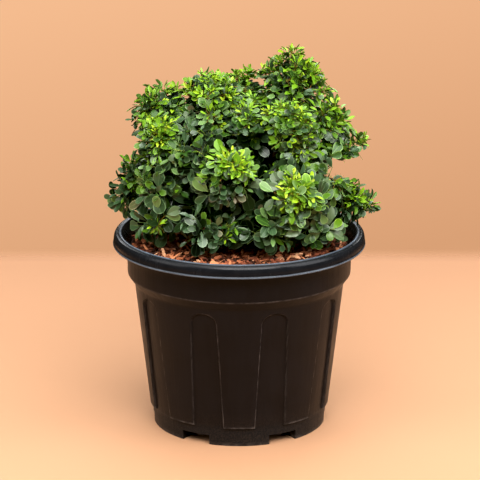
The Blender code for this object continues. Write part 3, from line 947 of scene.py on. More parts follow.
# ====================================================================== growth
# Shoots whose places the crown's outline and its bright tips give, by mass:
# tip x, y, z, how it grows, and how fresh it is, from old leaves to lime ones;
# -1 stands for brownish, fading leaves.
LEADERS = {
    "top_column": ((41, 18, 311, "spire", 1.0), (32, 17, 303, "spire", 0.75),
        (51, 27, 302, "spire", 0.7), (17, 21, 295, "spire", 0.45),
        (56, 12, 299, "spire", 0.6), (62, 10, 294, "spire", 0.55),
        (68, 18, 287, "spire", 0.5), (26, 15, 294, "spire", 0.55),
        (45, 7, 301, "spire", 0.65), (37, -1, 293, "spray", 0.45),
        (50, 0, 292, "spray", 0.45), (23, 6, 284, "spray", 0.35),
        (36, -5, 280, "spray", 0.3), (49, -6, 281, "spray", 0.3),
        (59, 1, 285, "spray", 0.4), (22, 8, 271, "spray", 0.15),
        (46, -4, 272, "spray", 0.2), (72, 16, 278, "spire", 0.6),
        (64, 11, 273, "spray", 0.6),),
    "right_shoulder": ((77, 5, 269, "spire", 0.75),
        (84, 2, 257, "spire", 0.7), (68, -7, 264, "rosette", 0.7),
        (73, -7, 256, "rosette", 0.75), (58, 25, 263, "spray", 0.4),
        (79, -6, 249, "spray", 0.5), (63, -9, 254, "spray", 0.5),),
    "right_mid_front": ((32, -40, 276, "head", 0.95),
        (21, -31, 268, "rosette", 0.8), (40, -48, 272, "head", 1.0),
        (47, -45, 272, "rosette", 0.85), (52, -48, 266, "head", 0.95),
        (26, -48, 263, "spray", 0.35), (39, -56, 262, "spray", 0.5),
        (48, -55, 257, "spray", 0.6), (55, -50, 252, "rosette", 0.8),
        (30, -54, 252, "spray", 0.6), (45, -54, 247, "spray", 0.35),
        (51, -49, 241, "head", 0.9), (35, -48, 232, "spray", 0.3),
        (48, -42, 229, "spray", 0.45),),
    "centre_mid": ((18, -30, 254, "spray", 0.25),
        (4, -26, 271, "rosette", 0.75), (7, -32, 262, "rosette", 0.8),
        (9, -33, 256, "spray", 0.3), (10, -34, 252, "spray", 0.2),
        (1, -32, 253, "spray", 0.6), (5, -29, 240, "spray", 0.3),
        (18, -28, 237, "spray", 0.3), (-3, -26, 262, "rosette", 0.6),),
    "right_inner": ((58, -17, 231, "rosette", 0.8),
        (67, -33, 230, "spray", 0.3), (72, -39, 222, "spray", 0.15),
        (80, -39, 215, "rosette", 0.9), (87, -23, 206, "rosette", 0.85),
        (84, -29, 200, "spray", 0.5), (70, -44, 212, "rosette", 0.5),),
    "right_edge": ((101, 4, 240, "spire", 0.55), (95, 5, 241, "spire", 0.45),
        (84, -1, 239, "spray", 0.4), (88, -9, 230, "spire", 0.25),
        (82, -11, 232, "spray", 0.2), (74, -9, 234, "spray", 0.4),
        (70, 1, 237, "rosette", 0.6),),
    "back_tuft": ((9, 44, 284, "spire", 0.8), (3, 37, 283, "spire", 0.75),
        (-2, 35, 283, "spire", 0.85), (5, 22, 277, "spray", 0.5),),
    "centre_left_dome": ((-7, -7, 288, "spray", 0.6),
        (-29, 3, 292, "rosette", 0.8), (-22, -11, 291, "head", 0.9),
        (-15, 0, 290, "rosette", 0.85), (-36, -8, 287, "spray", 0.6),
        (-42, -12, 282, "spray", 0.5), (-22, -22, 283, "rosette", 0.85),
        (-10, -18, 281, "rosette", 0.7), (-4, -14, 278, "rosette", 0.7),
        (-30, -24, 282, "spray", 0.45), (-36, -22, 269, "pads", -1.0),
        (-32, -26, 261, "pads", -1.0), (-38, -26, 262, "pads", -1.0),
        (-35, -28, 254, "pads", -1.0), (-29, -28, 254, "pads", -1.0),
        (-44, -20, 265, "pads", -1.0), (-24, -30, 267, "spray", 0.55),
        (-17, -26, 266, "spray", 0.6), (-7, -18, 271, "rosette", 0.6),
        (-14, -26, 256, "rosette", 0.55), (-3, -13, 271, "rosette", 0.75),),
    "back_mid": ((-11, 49, 226, "spray", 0.65),),
    "centre_left_mid": ((-25, -45, 256, "spray", 0.1),
        (-39, -39, 258, "spray", 0.1), (-45, -50, 244, "spray", 0.1),
        (-51, -47, 238, "rosette", 0.7), (-47, -53, 229, "spray", 0.3),
        (-39, -55, 220, "spray", 0.0), (-28, -56, 244, "spray", 0.0),
        (-32, -61, 232, "spray", 0.1), (-21, -55, 241, "spray", 0.5),),
    "left_tuft": ((-60, 12, 281, "spire", 0.9),
        (-70, -5, 277, "spire", 0.35), (-75, -7, 271, "spire", 0.15),
        (-87, 1, 259, "spray", 0.1), (-65, -10, 274, "rosette", 0.6),
        (-49, -4, 270, "spray", 0.45), (-57, -9, 267, "spray", 0.35),
        (-55, -10, 259, "rosette", 0.6),),
    "back_left_upper": ((-53, 38, 268, "spire", 0.65),),
    "left_column": ((-72, -19, 259, "spire", 0.6),
        (-61, -28, 259, "head", 0.8), (-59, -37, 252, "head", 0.95),
        (-75, -29, 254, "spray", 0.5), (-74, -35, 248, "spray", 0.5),
        (-58, -39, 243, "head", 1.0), (-68, -39, 241, "spray", 0.5),
        (-49, -28, 248, "spray", 0.3), (-65, -40, 253, "rosette", 0.7),
        (-71, -27, 227, "rosette", 0.5),),
    "far_left_low": ((-86, -5, 224, "spire", 0.3),
        (-91, 1, 214, "spire", 0.2), (-81, -15, 214, "spire", 0.15),
        (-77, -10, 217, "spire", 0.2), (-86, -16, 206, "spire", 0.25),
        (-98, -13, 196, "spray", 0.5), (-108, -2, 183, "pads", 0.3),
        (-98, -14, 188, "pads", 0.3), (-87, -19, 193, "spray", 0.2),
        (-95, -12, 178, "pads", 0.25),),
    "left_mid": ((-77, -43, 216, "spire", 0.2),
        (-76, -44, 203, "spray", 0.3), (-62, -38, 230, "spray", 0.4),
        (-64, -46, 219, "spray", 0.25), (-48, -45, 213, "spray", 0.45),
        (-67, -50, 208, "spray", 0.1), (-56, -49, 203, "spray", 0.1),),
    "centre_front": ((-27, -67, 224, "spray", 0.2),
        (-9, -67, 239, "head", 1.0), (0, -70, 236, "head", 0.95),
        (-14, -71, 232, "rosette", 0.7), (6, -72, 229, "rosette", 0.5),
        (-4, -75, 225, "spray", 0.3), (-16, -71, 218, "spray", 0.15),
        (-3, -70, 207, "spray", -1.0), (-16, -71, 205, "spray", -1.0),
        (8, -70, 214, "spray", 0.2), (-27, -67, 207, "spray", 0.2),
        (16, -62, 222, "spray", 0.1),),
    "skirt_left": ((-49, -33, 193, "spray", -0.3),
        (-65, -52, 180, "rosette", 0.85), (-77, -45, 180, "spray", 0.1),
        (-82, -39, 170, "spray", 0.05), (-51, -42, 170, "spray", 0.05),
        (-59, -48, 190, "spray", 0.2),),
    "skirt_back_right": ((26, 65, 204, "spray", 0.4),),
    "right_front": ((26, -50, 225, "rosette", 0.8),
        (41, -74, 221, "head", 1.0), (50, -75, 216, "head", 1.0),
        (35, -77, 210, "rosette", 0.9), (46, -78, 204, "rosette", 0.9),
        (24, -66, 213, "spray", 0.15), (57, -76, 208, "spray", 0.5),
        (59, -65, 222, "spray", 0.3), (68, -60, 206, "spray", 0.3),
        (48, -72, 185, "spray", 0.5), (62, -65, 191, "spray", 0.5),
        (37, -76, 195, "spray", 0.4), (56, -69, 190, "spray", 0.5),),
    "skirt_front_right": ((25, -68, 193, "spray", 0.3),
        (10, -58, 195, "spray", -1.0), (7, -70, 181, "spray", -0.3),
        (31, -74, 186, "spray", 0.45), (27, -74, 174, "spray", 0.5),
        (36, -75, 178, "spray", 0.5),
        (42, -65, 169, "spray", 0.45), (3, -66, 166, "spray", 0.0),),
    "lower_right": ((94, -21, 197, "spire", 0.8),
        (110, -4, 188, "spire", 0.7), (85, -20, 203, "spire", 0.85),
        (102, -14, 195, "spire", 0.85), (90, -12, 205, "spire", 0.6),
        (105, -16, 184, "spire", 0.45), (78, -22, 185, "spray", 0.15),
        (89, -26, 188, "spray", 0.2), (100, -8, 173, "spray", 0.1),),
    "skirt_front_left": ((-44, -63, 168, "spray", 0.0),
        (-36, -69, 173, "spray", 0.0), (-31, -71, 184, "spray", 0.05),
        (-17, -69, 185, "spray", -1.0), (-10, -65, 173, "rosette", 0.75),
        (-4, -61, 181, "rosette", 0.5), (-39, -66, 192, "spray", 0.15),
        (-10, -51, 159, "spray", 0.0), (-27, -72, 171, "spray", 0.0),),
    "skirt_right": ((49, -48, 161, "spray", 0.4),
        (58, -58, 176, "spray", 0.55), (70, -56, 177, "spray", 0.5),
        (81, -44, 165, "spray", 0.35), (78, -49, 182, "spray", 0.45),),
}

# how fresh the other shoots of a mass are
FRESHNESS = {
    "top_column": 0.80, "right_shoulder": 0.86, "right_mid_front": 0.28,
    "back_tuft": 0.84, "centre_left_dome": 0.06, "left_tuft": 0.30,
    "left_column": 0.18, "centre_mid": 0.10, "right_edge": 0.36,
    "far_left_low": 0.18, "centre_left_mid": -0.20, "left_mid": 0.06,
    "centre_front": 0.12, "right_front": 0.42, "right_inner": 0.42,
    "lower_right": 0.70, "skirt_left": 0.00, "skirt_front_left": -0.10,
    "skirt_front_right": -0.04, "skirt_right": 0.50,
    "back_left_upper": 0.48, "back_upper": 0.52, "back_right_upper": 0.44,
    "back_left_mid": 0.28, "back_mid": 0.34, "back_right_mid": 0.24,
    "skirt_back_left": 0.10, "skirt_back_right": 0.12,
}

# masses whose shoots stand apart, with nothing dense inside them
OPEN = ("far_left_low", "left_tuft", "right_edge", "lower_right",
        "right_shoulder", "top_column")

# how high the shoots of the masses behind reach, so that the notches in the
# crown's outline stay open
LOW_TOPS = {"back_left_upper": 256, "back_upper": 258, "back_right_upper": 256}

# leaves that close the gap between the masses over the stem, near black with painted
# shade
DEEP = (("centre_mid", (22, 8, 236)), ("centre_mid", (26, -6, 228)),
        ("centre_mid", (16, 14, 228)), ("right_mid_front", (30, 2, 244)),
        ("right_mid_front", (34, -8, 230)), ("right_mid_front", (26, 16, 240)),
        ("centre_mid", (20, -22, 222)), ("right_front", (28, -26, 214)),
        ("centre_mid", (20, 20, 226)), ("centre_mid", (24, 22, 219)),
        ("right_mid_front", (30, 22, 216)), ("centre_mid", (20, 40, 222)),
        ("right_mid_front", (25, 40, 215)), ("centre_mid", (28, 0, 221)),
        ("right_mid_front", (24, 0, 230)), ("centre_mid", (14, 4, 222)),
        ("right_mid_front", (32, 10, 226)), ("centre_mid", (26, 10, 212)),
        ("skirt_right", (60, 8, 172)), ("skirt_right", (56, 20, 177)),
        ("skirt_right", (52, 12, 184)), ("skirt_right", (60, -4, 170)))

# old to young, each with the leaf colours dealt at that age
AGES = (
    (0.16, ("shade", 2.0), ("deep", 3.2), ("blue", 1.2), ("olive", 0.5),
     ("brown", 0.25)),
    (0.36, ("deep", 3.2), ("blue", 2.6), ("grey_blue", 1.2), ("olive", 0.3),
     ("green", 0.8)),
    (0.56, ("blue", 2.2), ("grey_blue", 1.3), ("green", 2.6), ("mid", 0.9)),
    (0.74, ("green", 2.4), ("mid", 2.4), ("grey_blue", 0.5), ("mint", 0.8),
     ("fresh", 0.5)),
    (0.90, ("mid", 2.2), ("fresh", 2.4), ("green", 0.8), ("mint", 0.7),
     ("light", 0.4)),
    (1.04, ("fresh", 2.4), ("light", 2.2), ("mid", 0.6), ("lime", 0.7)),
    (9.00, ("light", 2.4), ("lime", 2.6), ("yellow", 0.3), ("fresh", 0.9)),
)

COOLER = {"green": "teal", "mid": "grey_blue", "olive": "blue",
          "deep": "blue", "fresh": "mid"}

# the leaves at a shoot's end: rings of leaves, each with their number, slope
# off the shoot, leaflets, size, shape, and how much fresher they are
TUFTS = {
    "head":    ((6, 74, 3, 0.86, 0.62, -0.46), (5, 60, 5, 0.74, 0.40, 0.00),
                (5, 38, 5, 0.66, 0.36, 0.10), (4, 14, 3, 0.56, 0.32, 0.20)),
    "rosette": ((5, 68, 3, 0.84, 0.62, -0.26), (4, 44, 3, 0.70, 0.42, 0.04),
                (3, 16, 3, 0.58, 0.36, 0.14)),
    "spire":   ((4, 52, 3, 0.92, 0.52, -0.04), (3, 34, 3, 0.82, 0.40, 0.10),
                (3, 12, 3, 0.66, 0.34, 0.20)),
    "spray":   ((4, 60, 3, 0.86, 0.64, -0.10), (3, 32, 3, 0.66, 0.50, 0.02)),
    "pads":    ((4, 70, 1, 1.10, 0.66, -0.24), (3, 42, 1, 0.86, 0.62, -0.10),
                (1, 16, 1, 0.60, 0.50, 0.04)),
    "inner":   (),
    "filler":  ((4, 66, 3, 1.0, 0.66, -1.2), (3, 30, 3, 0.9, 0.62, -1.2)),
    "core":    ((5, 86, 1, 1.0, 0.74, -1.2), (4, 50, 1, 1.0, 0.74, -1.2),
                (2, 14, 1, 0.9, 0.70, -1.2)),
}


def size_at(z):
    """Length of a grown leaflet at a height: small at the top of the crown."""
    return lerp(12.6, 9.2, smooth((z - 186) / 92))


def spacing_at(z):
    """Least room between the tips of neighbouring shoots."""
    return lerp(22.0, 15.6, smooth((z - 190) / 80))


def tree_of(objects):
    verts, polys = [], []
    for o in objects:
        start = len(verts)
        verts += [v.co / MM for v in o.data.vertices]
        polys += [tuple(start + i for i in p.vertices) for p in o.data.polygons]
    return BVHTree.FromPolygons(verts, polys)


def surface_points(obj, rng, count):
    """Seeded, area-even points on a solid, with normals, in millimetres."""
    mesh = obj.data
    polys = [(p.area, p) for p in mesh.polygons]
    total = sum(a for a, _ in polys)
    out = []
    for _ in range(count):
        pick = rng.uniform(0, total)
        for area, p in polys:
            pick -= area
            if pick <= 0:
                break
        a, b, c = (mesh.vertices[i].co / MM for i in p.vertices[:3])
        r1, r2 = math.sqrt(rng.random()), rng.random()
        out.append((a * (1 - r1) + b * r1 * (1 - r2) + c * r1 * r2,
                    p.normal.copy()))
    return out


def outward(p):
    """Away from the crown's middle line."""
    v = Vector((p.x, p.y, 0.0))
    return v.normalized() if v.length > 1e-6 else Vector((0, -1, 0))


def sky_at(p):
    return (UP * 0.7 + outward(p) * 0.6).normalized()


def clear_of_pot(p):
    """Is this point clear of the pot's rim and of the mulch?"""
    r = math.hypot(p.x, p.y)
    if r < 89.5:
        return p.z > 153.6
    if r < 104.0:
        return p.z > 162.0
    return p.z > 152.0


def past_outline(p, leader):
    """Is this point outside the crown's outline where that draws in: over its
    lowest boughs, and in the notch beside the dome?"""
    h = p.z + 0.27 * p.y
    if not leader and -58 < p.x < -36 and h > 274 + 0.8 * (p.x + 58):
        return True
    if p.x > 0 and leader:
        return 205 < h < 221 and p.x > 68 + 0.6 * abs(h - 213)
    if p.x > 0:
        return 204 < h < 234 and p.x > 65 + 0.4 * abs(h - 217)
    return not leader and 224 < h < 262 and p.x < -81 - 0.15 * abs(h - 240)


class Grower:
    """Grows shoots, and gathers their leaflets and stalks."""

    def __init__(self, seed):
        self.rng = random.Random(seed)
        self.tables = {}
        self.twigs, self.stalks = Builder(), Builder()
        self.tones = list(TWIG_TONES)
        self.crown = tree_of([nodes["foliage_" + m] for m in MASSES])
        self.piece = None
        self.open = False       # is this mass one whose shoots stand apart?
        self.faded = False      # are this shoot's leaves brownish?
        self.leader = False     # is this one of the leaders?
        self.count = 0

    def beyond(self, p):
        """How far a point lies outside the solids of the crown."""
        near, normal, _, far = self.crown.find_nearest(p)
        return far if (p - near).dot(normal) > 0 else -far

    def exposed(self, p, n):
        """Does some open air lie over this point of a mass?"""
        for way in (n, (n + UP * 0.5).normalized(),
                    (n + outward(p) * 0.7).normalized()):
            if self.crown.ray_cast(p + way * 1.2, way, 9.0)[0] is None:
                return True
        return False

    def openness(self, p, n):
        """How much of the air over a point is free of other masses."""
        side = n.orthogonal().normalized()
        across = n.cross(side)
        free = 0
        for k in range(14):
            slope = math.radians(22 if k < 4 else 50)
            a = 2 * math.pi * (k / 4 if k < 4 else k / 10)
            way = n * math.cos(slope) + (
                side * math.cos(a) + across * math.sin(a)) * math.sin(slope)
            way = (way + UP * 0.30).normalized()
            if self.crown.ray_cast(p + way * 1.5, way, 38.0)[0] is None:
                free += 1
        return free / 14

    def tone(self, age, z):
        """A leaf colour for an age, old below 0 and lime above 1.

        Low in the crown the grown leaves are bluer."""
        rng = self.rng
        age += rng.gauss(0, 0.07)
        for limit, *choices in AGES:
            if age < limit:
                break
        names = [c[0] for c in choices]
        name = rng.choices(names, [c[1] for c in choices])[0]
        cool = lerp(0.30, 0.88, smooth((248 - z) / 60))
        if name in COOLER and rng.random() < cool:
            name = COOLER[name]
        if name == "grey_blue" and z < 202 and rng.random() < 0.5:
            name = "teal"
        return name

    # ------------------------------------------------------------ leaflets
    def leaflet(self, narrow, origin, along, face, length, width, tone,
                margin):
        rng = self.rng
        tip = origin + along * length
        mid = origin + along * length * 0.6
        across = along.cross(face)
        for q in (origin, tip, mid + across * width * 0.5,
                  mid - across * width * 0.5):
            if not clear_of_pot(q):
                return False
        if past_outline(tip, self.leader):
            return False
        near, normal, _, far = self.crown.find_nearest(tip)
        out = far if (tip - near).dot(normal) > 0 else -far
        if out > margin:
            return False
        if out > 2.5 and margin < 10 and (
                tip.y < 5 or tip.z > 244) and self.crown.ray_cast(
                tip, (tip - near).normalized(), 13.0)[0] is not None:
            # a leaf doesn't close the gap between two masses
            return False
        # leaves deeper inside the crown's solids get darker colours: painted shade
        for depth in (-2.0, -5.0, -8.0):
            if out < depth and tone in DARKER and rng.random() < 0.8:
                tone = DARKER[tone]
        if narrow:
            fold = math.tan(math.radians(rng.uniform(16, 42)))
            curl = rng.gauss(0.20, 0.20)
        else:
            fold = math.tan(math.radians(rng.gauss(9, 9)))
            curl = rng.gauss(0.12, 0.10)
        kind = "narrow" if narrow else "large" if length > 11.5 else "broad"
        self.tables.setdefault(self.piece, {}).setdefault(kind, []).append(
            (*origin, *along, *face, length, width, fold, curl,
             rng.gauss(0, 0.24), tone))
        self.count += 1
        return True

    def stalk(self, points, radius, tone):
        last = len(points) - 1
        self.stalks.tube(points, [lerp(radius, radius * 0.55, k / last)
                                  for k in range(last + 1)], 3,
                         self.tones.index(tone))

    def leaf(self, node, axis, radial, rise, size, count, shape, tone, margin,
             stalk_tone):
        """One leaf: a curved midstalk, alternate leaflets and an end one.

        shape is the leaflets' width for their length."""
        rng = self.rng
        along = (axis * math.cos(rise) + radial * math.sin(rise)).normalized()
        sky = sky_at(node)
        face = axis - along * axis.dot(along)
        if face.length < 0.2:
            face = sky - along * sky.dot(along)
        face.normalize()
        face = face * 0.75 + sky * 0.5
        face = (face - along * face.dot(along)).normalized()
        across = along.cross(face)
        if tone in ("light", "lime", "yellow"):
            shape, size = min(shape, 0.50), size * 0.88
        elif tone == "fresh":
            shape = min(shape, 0.58)
        narrow = shape < 0.6
        reach = size * (0.34 + 0.20 * count if count > 1 else 0.16) \
            * rng.uniform(0.9, 1.1)
        droop = rng.uniform(0.0, 0.18)

        def point(f):
            return node + along * reach * f - face * reach * droop * f * f

        flip = rng.choice((-1.0, 1.0))
        made = 0
        for k in range(count):
            last = k == count - 1
            if last:
                f, side = 1.0, 0.0
            else:
                f = lerp(0.28, 0.84, k / max(1, count - 2))
                side = flip if k % 2 == 0 else -flip
            p = point(f)
            here = (along - face * 2 * droop * f).normalized()
            if last:
                way = here + across * rng.gauss(0, 0.14)
                scale = rng.uniform(0.98, 1.16)
            else:
                angle = math.radians(rng.gauss(lerp(66, 42, f), 8))
                way = here * math.cos(angle) + across * (
                    side * math.sin(angle))
                scale = lerp(0.78, 1.0, f) * rng.uniform(0.86, 1.1)
            way = (way + face * rng.gauss(0.05, 0.13)).normalized()
            up = face + across * rng.gauss(0, 0.22) + here * rng.gauss(0, 0.16)
            up = (up - way * up.dot(way)).normalized()
            length = size * scale
            width = length * shape * rng.uniform(0.84, 1.06)
            if self.leaflet(narrow, p + way * 0.25, way, up, length, width,
                            tone if rng.random() < 0.8 else
                            self.neighbour(tone), margin):
                made += 1
        if made and count > 1:
            self.stalk([point(0), point(0.5), point(1.0)],
                       0.22 if narrow else 0.32, stalk_tone)
        return made

    def neighbour(self, tone):
        order = ["shade", "deep", "blue", "teal", "green", "mid", "fresh",
                 "light", "lime", "yellow"]
        if tone == "grey_blue":
            return self.rng.choice(("teal", "mint"))
        if tone not in order:
            return tone
        i = order.index(tone) + self.rng.choice((-1, 1))
        return order[int(clamp(i, 0, len(order) - 1))]

    # --------------------------------------------------------------- shoot
    def shoot(self, root, root_way, tip, tip_way, fresh, style):
        """A leafy shoot from a limb out to its tip."""
        rng = self.rng
        self.faded = fresh < -0.5
        if self.faded:
            fresh = -0.1
        spire, inner = style == "spire", style in ("inner", "filler", "core")
        span = (tip - root).length
        a = root + root_way * span * 0.36
        b = tip - tip_way * span * 0.42
        steps = max(5, int(span / 4.2))
        points = [root * (1 - u) ** 3 + a * 3 * u * (1 - u) ** 2
                  + b * 3 * u * u * (1 - u) + tip * u ** 3
                  for u in (k / steps for k in range(steps + 1))]
        lengths = [0.0]
        for p, q in zip(points, points[1:]):
            lengths.append(lengths[-1] + (q - p).length)
        total = lengths[-1]

        def at(s):
            s = clamp(s, 0.0, total)
            for k in range(steps):
                if s <= lengths[k + 1]:
                    break
            f = (s - lengths[k]) / max(1e-6, lengths[k + 1] - lengths[k])
            return (points[k].lerp(points[k + 1], f),
                    (points[k + 1] - points[k]).normalized())

        grown = size_at(tip.z) * rng.uniform(0.92, 1.10)
        if style == "pads" and tip.z > 238:
            grown *= 0.84
        if style == "core":
            grown = 14.0
        elif inner:
            grown = max(grown, 9.5)
        elif self.faded:
            grown = min(grown, 9.2)
        elif spire or self.open:
            grown = min(grown, 9.4)
        low = tip.z < 203 and tip.y < 5 and fresh < 0.6 and not (
            inner or self.open)
        leafy = min(grown * rng.uniform(2.5, 3.2) * (1.2 if spire else 1.0),
                    total * 0.95)
        green = total - leafy * (0.5 if fresh > 0.7 else 0.25)
        radii = [lerp(0.95, 0.40, (s / total) ** 0.8) for s in lengths]
        cut = max(1, sum(1 for s in lengths if s < green) - 1)
        self.twigs.tube(points[:cut + 1], radii[:cut + 1], 5,
                        self.tones.index("twig_red" if self.open else
                                         rng.choice(("twig_brown",
                                                     "twig_red"))))
        if cut < steps:
            self.twigs.tube(points[cut:], radii[cut:], 4, self.tones.index(
                "stalk_lime" if fresh > 0.7 else "stalk_olive"))

        spin = rng.uniform(0, 2 * math.pi)
        margin = {"filler": 14.0, "core": 30.0, "inner": -1.0,
                  "spire": 6.5}.get(style, 4.6)
        if self.open and not inner:
            margin = 6.5 if tip.z > 262 else 8.5
        s = min(4.0, total * 0.3)
        while s < total - (2.5 if TUFTS[style] else 0.5):
            node, axis = at(s)
            age = (s - (total - leafy)) / leafy
            if age < (0.05 if self.open else -0.2) and rng.random() < (
                    0.75 if self.open else 0.35):
                s += 6.0
                continue
            side = axis.orthogonal().normalized()
            radial = side * math.cos(spin) \
                + axis.cross(side) * math.sin(spin)
            if age < 0.0 and radial.dot(sky_at(node)) < -0.15:
                # leaves inside the crown turn to the light
                radial = (radial + sky_at(node) * 1.2).normalized()
            young = smooth(age)
            size = grown * lerp(1.0, 0.68, smooth((age - 0.45) / 0.55)) \
                * rng.uniform(0.86, 1.12)
            if rng.random() < 0.12 and 0 < age < 0.6 and not spire:
                size *= 1.25
            rise = math.radians(lerp(76, 34 if spire else 44, young)
                                + rng.gauss(0, 9))
            if age > 0.7:
                count = 3
            elif low:
                count = rng.choice((1, 1, 1, 3))
                size *= 0.9 if self.faded else rng.uniform(1.0, 1.3)
            else:
                count = rng.choice((3, 3, 5) if age > 0.2 else (3, 1))
            # inner leaves are near black: painted shade
            if inner:
                tone = rng.choice(("shade", "shade", "shade", "deep"))
            else:
                # old leaves down a shoot are darker: partly their own colour, partly
                # painted shade for the gaps between sprays
                tone = self.tone(lerp(-0.16, 0.82, clamp(age) ** 1.15)
                                 + 0.42 * (fresh - 0.35), node.z)
                if self.faded and rng.random() < 0.35:
                    tone = rng.choice(("brown", "olive", "grey_blue", "teal"))
            shape = rng.uniform(0.60, 0.72)
            if spire and age > 0.1:
                shape = rng.uniform(0.34, 0.50)
            self.leaf(node, axis, radial, rise, size, count, shape, tone,
                      margin, "stalk_lime" if tone in (
                          "mid", "fresh", "light", "lime", "yellow")
                      else "stalk_olive")
            spin += GOLDEN + rng.gauss(0, 0.25)
            s += (8.5 if age < 0 else lerp(6.2, 3.5, young)) \
                * rng.uniform(0.85, 1.15) * grown / 9.0 \
                * (1.25 if self.open and tip.x > 0 and tip.z < 262 else 1.0)
        self.tuft(*at(total), fresh, style, margin, grown)

    def tuft(self, tip, axis, fresh, style, margin, grown):
        """The leaves at a shoot's end."""
        rng = self.rng
        spin = rng.uniform(0, 2 * math.pi)
        side = axis.orthogonal().normalized()
        for ring, (number, slope, count, share, shape, extra) in enumerate(
                TUFTS[style]):
            # the ends of filler and core shoots are near black: painted shade
            tone = "shade" if style in ("filler", "core") else self.tone(
                0.70 + 0.52 * (fresh - 0.3) + extra
                - (0.14 if tip.z < 200 else 0.0),
                tip.z + 40 * max(fresh, 0.0))
            for _ in range(number):
                radial = side * math.cos(spin) \
                    + axis.cross(side) * math.sin(spin)
                spin += GOLDEN + rng.gauss(0, 0.12)
                if self.faded:
                    tone = rng.choice(("brown", "olive", "grey_blue", "teal",
                                       "teal"))
                self.leaf(tip - axis * (2.4 - ring * 0.8), axis, radial,
                          math.radians(slope + rng.gauss(0, 7)),
                          grown * share * rng.uniform(0.86, 1.14), count,
                          shape * rng.uniform(0.9, 1.1),
                          tone if tone == "shade" or rng.random() < 0.6
                          else self.neighbour(tone),
                          margin, "stalk_amber" if fresh > 0.6
                          else "stalk_lime")


# what a leaf's colour is darkened to deep inside the crown: painted shade
DARKER = {"yellow": "light", "lime": "fresh", "light": "mid", "fresh": "mid",
          "mid": "green", "green": "blue", "mint": "teal",
          "grey_blue": "teal", "teal": "blue", "blue": "deep",
          "deep": "shade", "olive": "deep"}

# the pieces that the masses' leaves are joined into
PIECES = {
    "leaves_left": ("far_left_low", "left_column", "left_tuft", "left_mid",
                    "skirt_left"),
    "leaves_top": ("centre_left_dome", "top_column", "back_tuft", "centre_mid",
                   "right_mid_front"),
    "leaves_front": ("centre_left_mid", "centre_front", "right_front",
                     "skirt_front_left", "skirt_front_right"),
    "leaves_right": ("right_shoulder", "right_edge", "right_inner",
                     "lower_right", "skirt_right"),
    "leaves_back_high": ("back_left_upper", "back_upper", "back_right_upper",
                         "back_mid"),
    "leaves_back_low": ("back_left_mid", "back_right_mid", "skirt_back_left",
                        "skirt_back_right"),
}


def drawn_in(mass, p):
    """A shoot's place, moved in at the crown's waist, over its lowest
    boughs, and down where another mass stands before it."""
    p = p.copy()
    waist = mass.startswith("back") or mass in ("right_inner", "left_mid")
    side = 60 if p.x > 0 else 70
    if waist and 198 < p.z < 240 and p.y > -32 and abs(p.x) > side:
        p.x = math.copysign(side + (abs(p.x) - side) * 0.25, p.x)
    p.z = min(p.z, LOW_TOPS.get(mass, 999))
    return p


def place_tips(g):
    """Every shoot's tip: the leaders, then fill wherever the crown is open,
    then leaves deeper in."""
    rng = g.rng
    tips = []
    for mass, rows in LEADERS.items():
        for x, y, z, style, fresh in rows:
            if fresh > -0.5:
                fresh += 0.30 * smooth((z - 252) / 30) - (
                    0.18 if mass in ("centre_left_mid", "centre_mid") else 0.0)
            tips.append((mass, Vector((x, y, z)), None, min(fresh, 1.0), style))
    heights = {}
    for mass in MASSES:
        zs = [v.co.z / MM for v in nodes["foliage_" + mass].data.vertices]
        heights[mass] = (min(zs), max(zs))
    for mass in MASSES:
        for p, n in surface_points(nodes["foliage_" + mass], rng, 420):
            if p.z < 157 or n.z < -0.6 or not g.exposed(p, n):
                continue
            if mass == "far_left_low" or (
                    10 < p.x < 23 and p.z < 199 and p.y < -36):
                # far_left_low has leaders only, and under the middle of the
                # front there is a dark gap between two boughs' leaves
                continue
            ragged = p.x < -64 and p.z < 238 and p.y < 40
            thin = p.x > 66 and 196 < p.z < 246 and p.y < 34
            if rng.random() < (0.45 if ragged else 0.72 if thin else
                               0.30 if mass == "top_column" else 0.0):
                continue
            p = drawn_in(mass, p)
            if past_outline(p, False):
                continue
            room = spacing_at(p.z) * (0.86 if mass in OPEN else 1.0)
            if any((p - q[1]).length < room for q in tips):
                continue
            low, high = heights[mass]
            air = g.openness(p, n)
            if air < 0.55 and p.y < -20 and rng.random() < 0.45:
                continue                # a dark valley between two masses
            # the terms for height in the mass, facing up and open air are painted
            # light and shade: lit places get lighter leaves, hidden ones darker
            fresh = rng.gauss(FRESHNESS[mass], 0.17) \
                + 0.45 * ((p.z - low) / (high - low) - 0.60) \
                + 0.20 * (n.z - 0.25) \
                + (2.0 if p.y < 0 else 1.2) * (air - 0.86) \
                + 0.26 * smooth((p.z - 240) / 40)
            fresh = clamp(fresh, -0.48, 1.0) if rng.random() < 0.95 else -1.0
            if ragged:
                fresh = min(fresh, 0.15)
            style = "spire" if rng.random() < (
                0.9 if ragged else 0.7 if mass in OPEN else
                0.5 if p.z > 255 else 0.0) else \
                "head" if fresh > 0.85 and rng.random() < 0.3 else \
                "rosette" if fresh > 0.5 and rng.random() < 0.7 else "spray"
            tips.append((mass, p, n, fresh, style))
    deep = [(mass, Vector(at), Vector((0, -1, 0)), 0.0, "filler")
            for mass, at in DEEP]
    # the crown's core: near-black leaves round the limbs, painted shade, so that no
    # sky shows through the middle
    core = []
    for _ in range(1600):
        v = Vector([rng.uniform(-1, 1) for _ in range(3)])
        at = Vector((v.x * 62, v.y * 60 + 3, 199 + v.z * 42))
        if v.length > 1 or at.z < 164 or any(
                (at - c).length < 17.5 for c in core):
            continue
        core.append(at)
        mass = min(MASSES, key=lambda m: (Vector(MASSES[m][0]) - at).length)
        deep.append((mass, at, outward(at), 0.0, "core"))
    for mass in MASSES:
        if mass in OPEN:
            continue
        for p, n in surface_points(nodes["foliage_" + mass], rng, 160):
            q = p - n * rng.uniform(11.0, 17.0)
            if q.z < 160 or any((q - d[1]).length < 15.0 for d in deep):
                continue
            deep.append((mass, q, n, 0.0, "inner"))
    return tips + deep


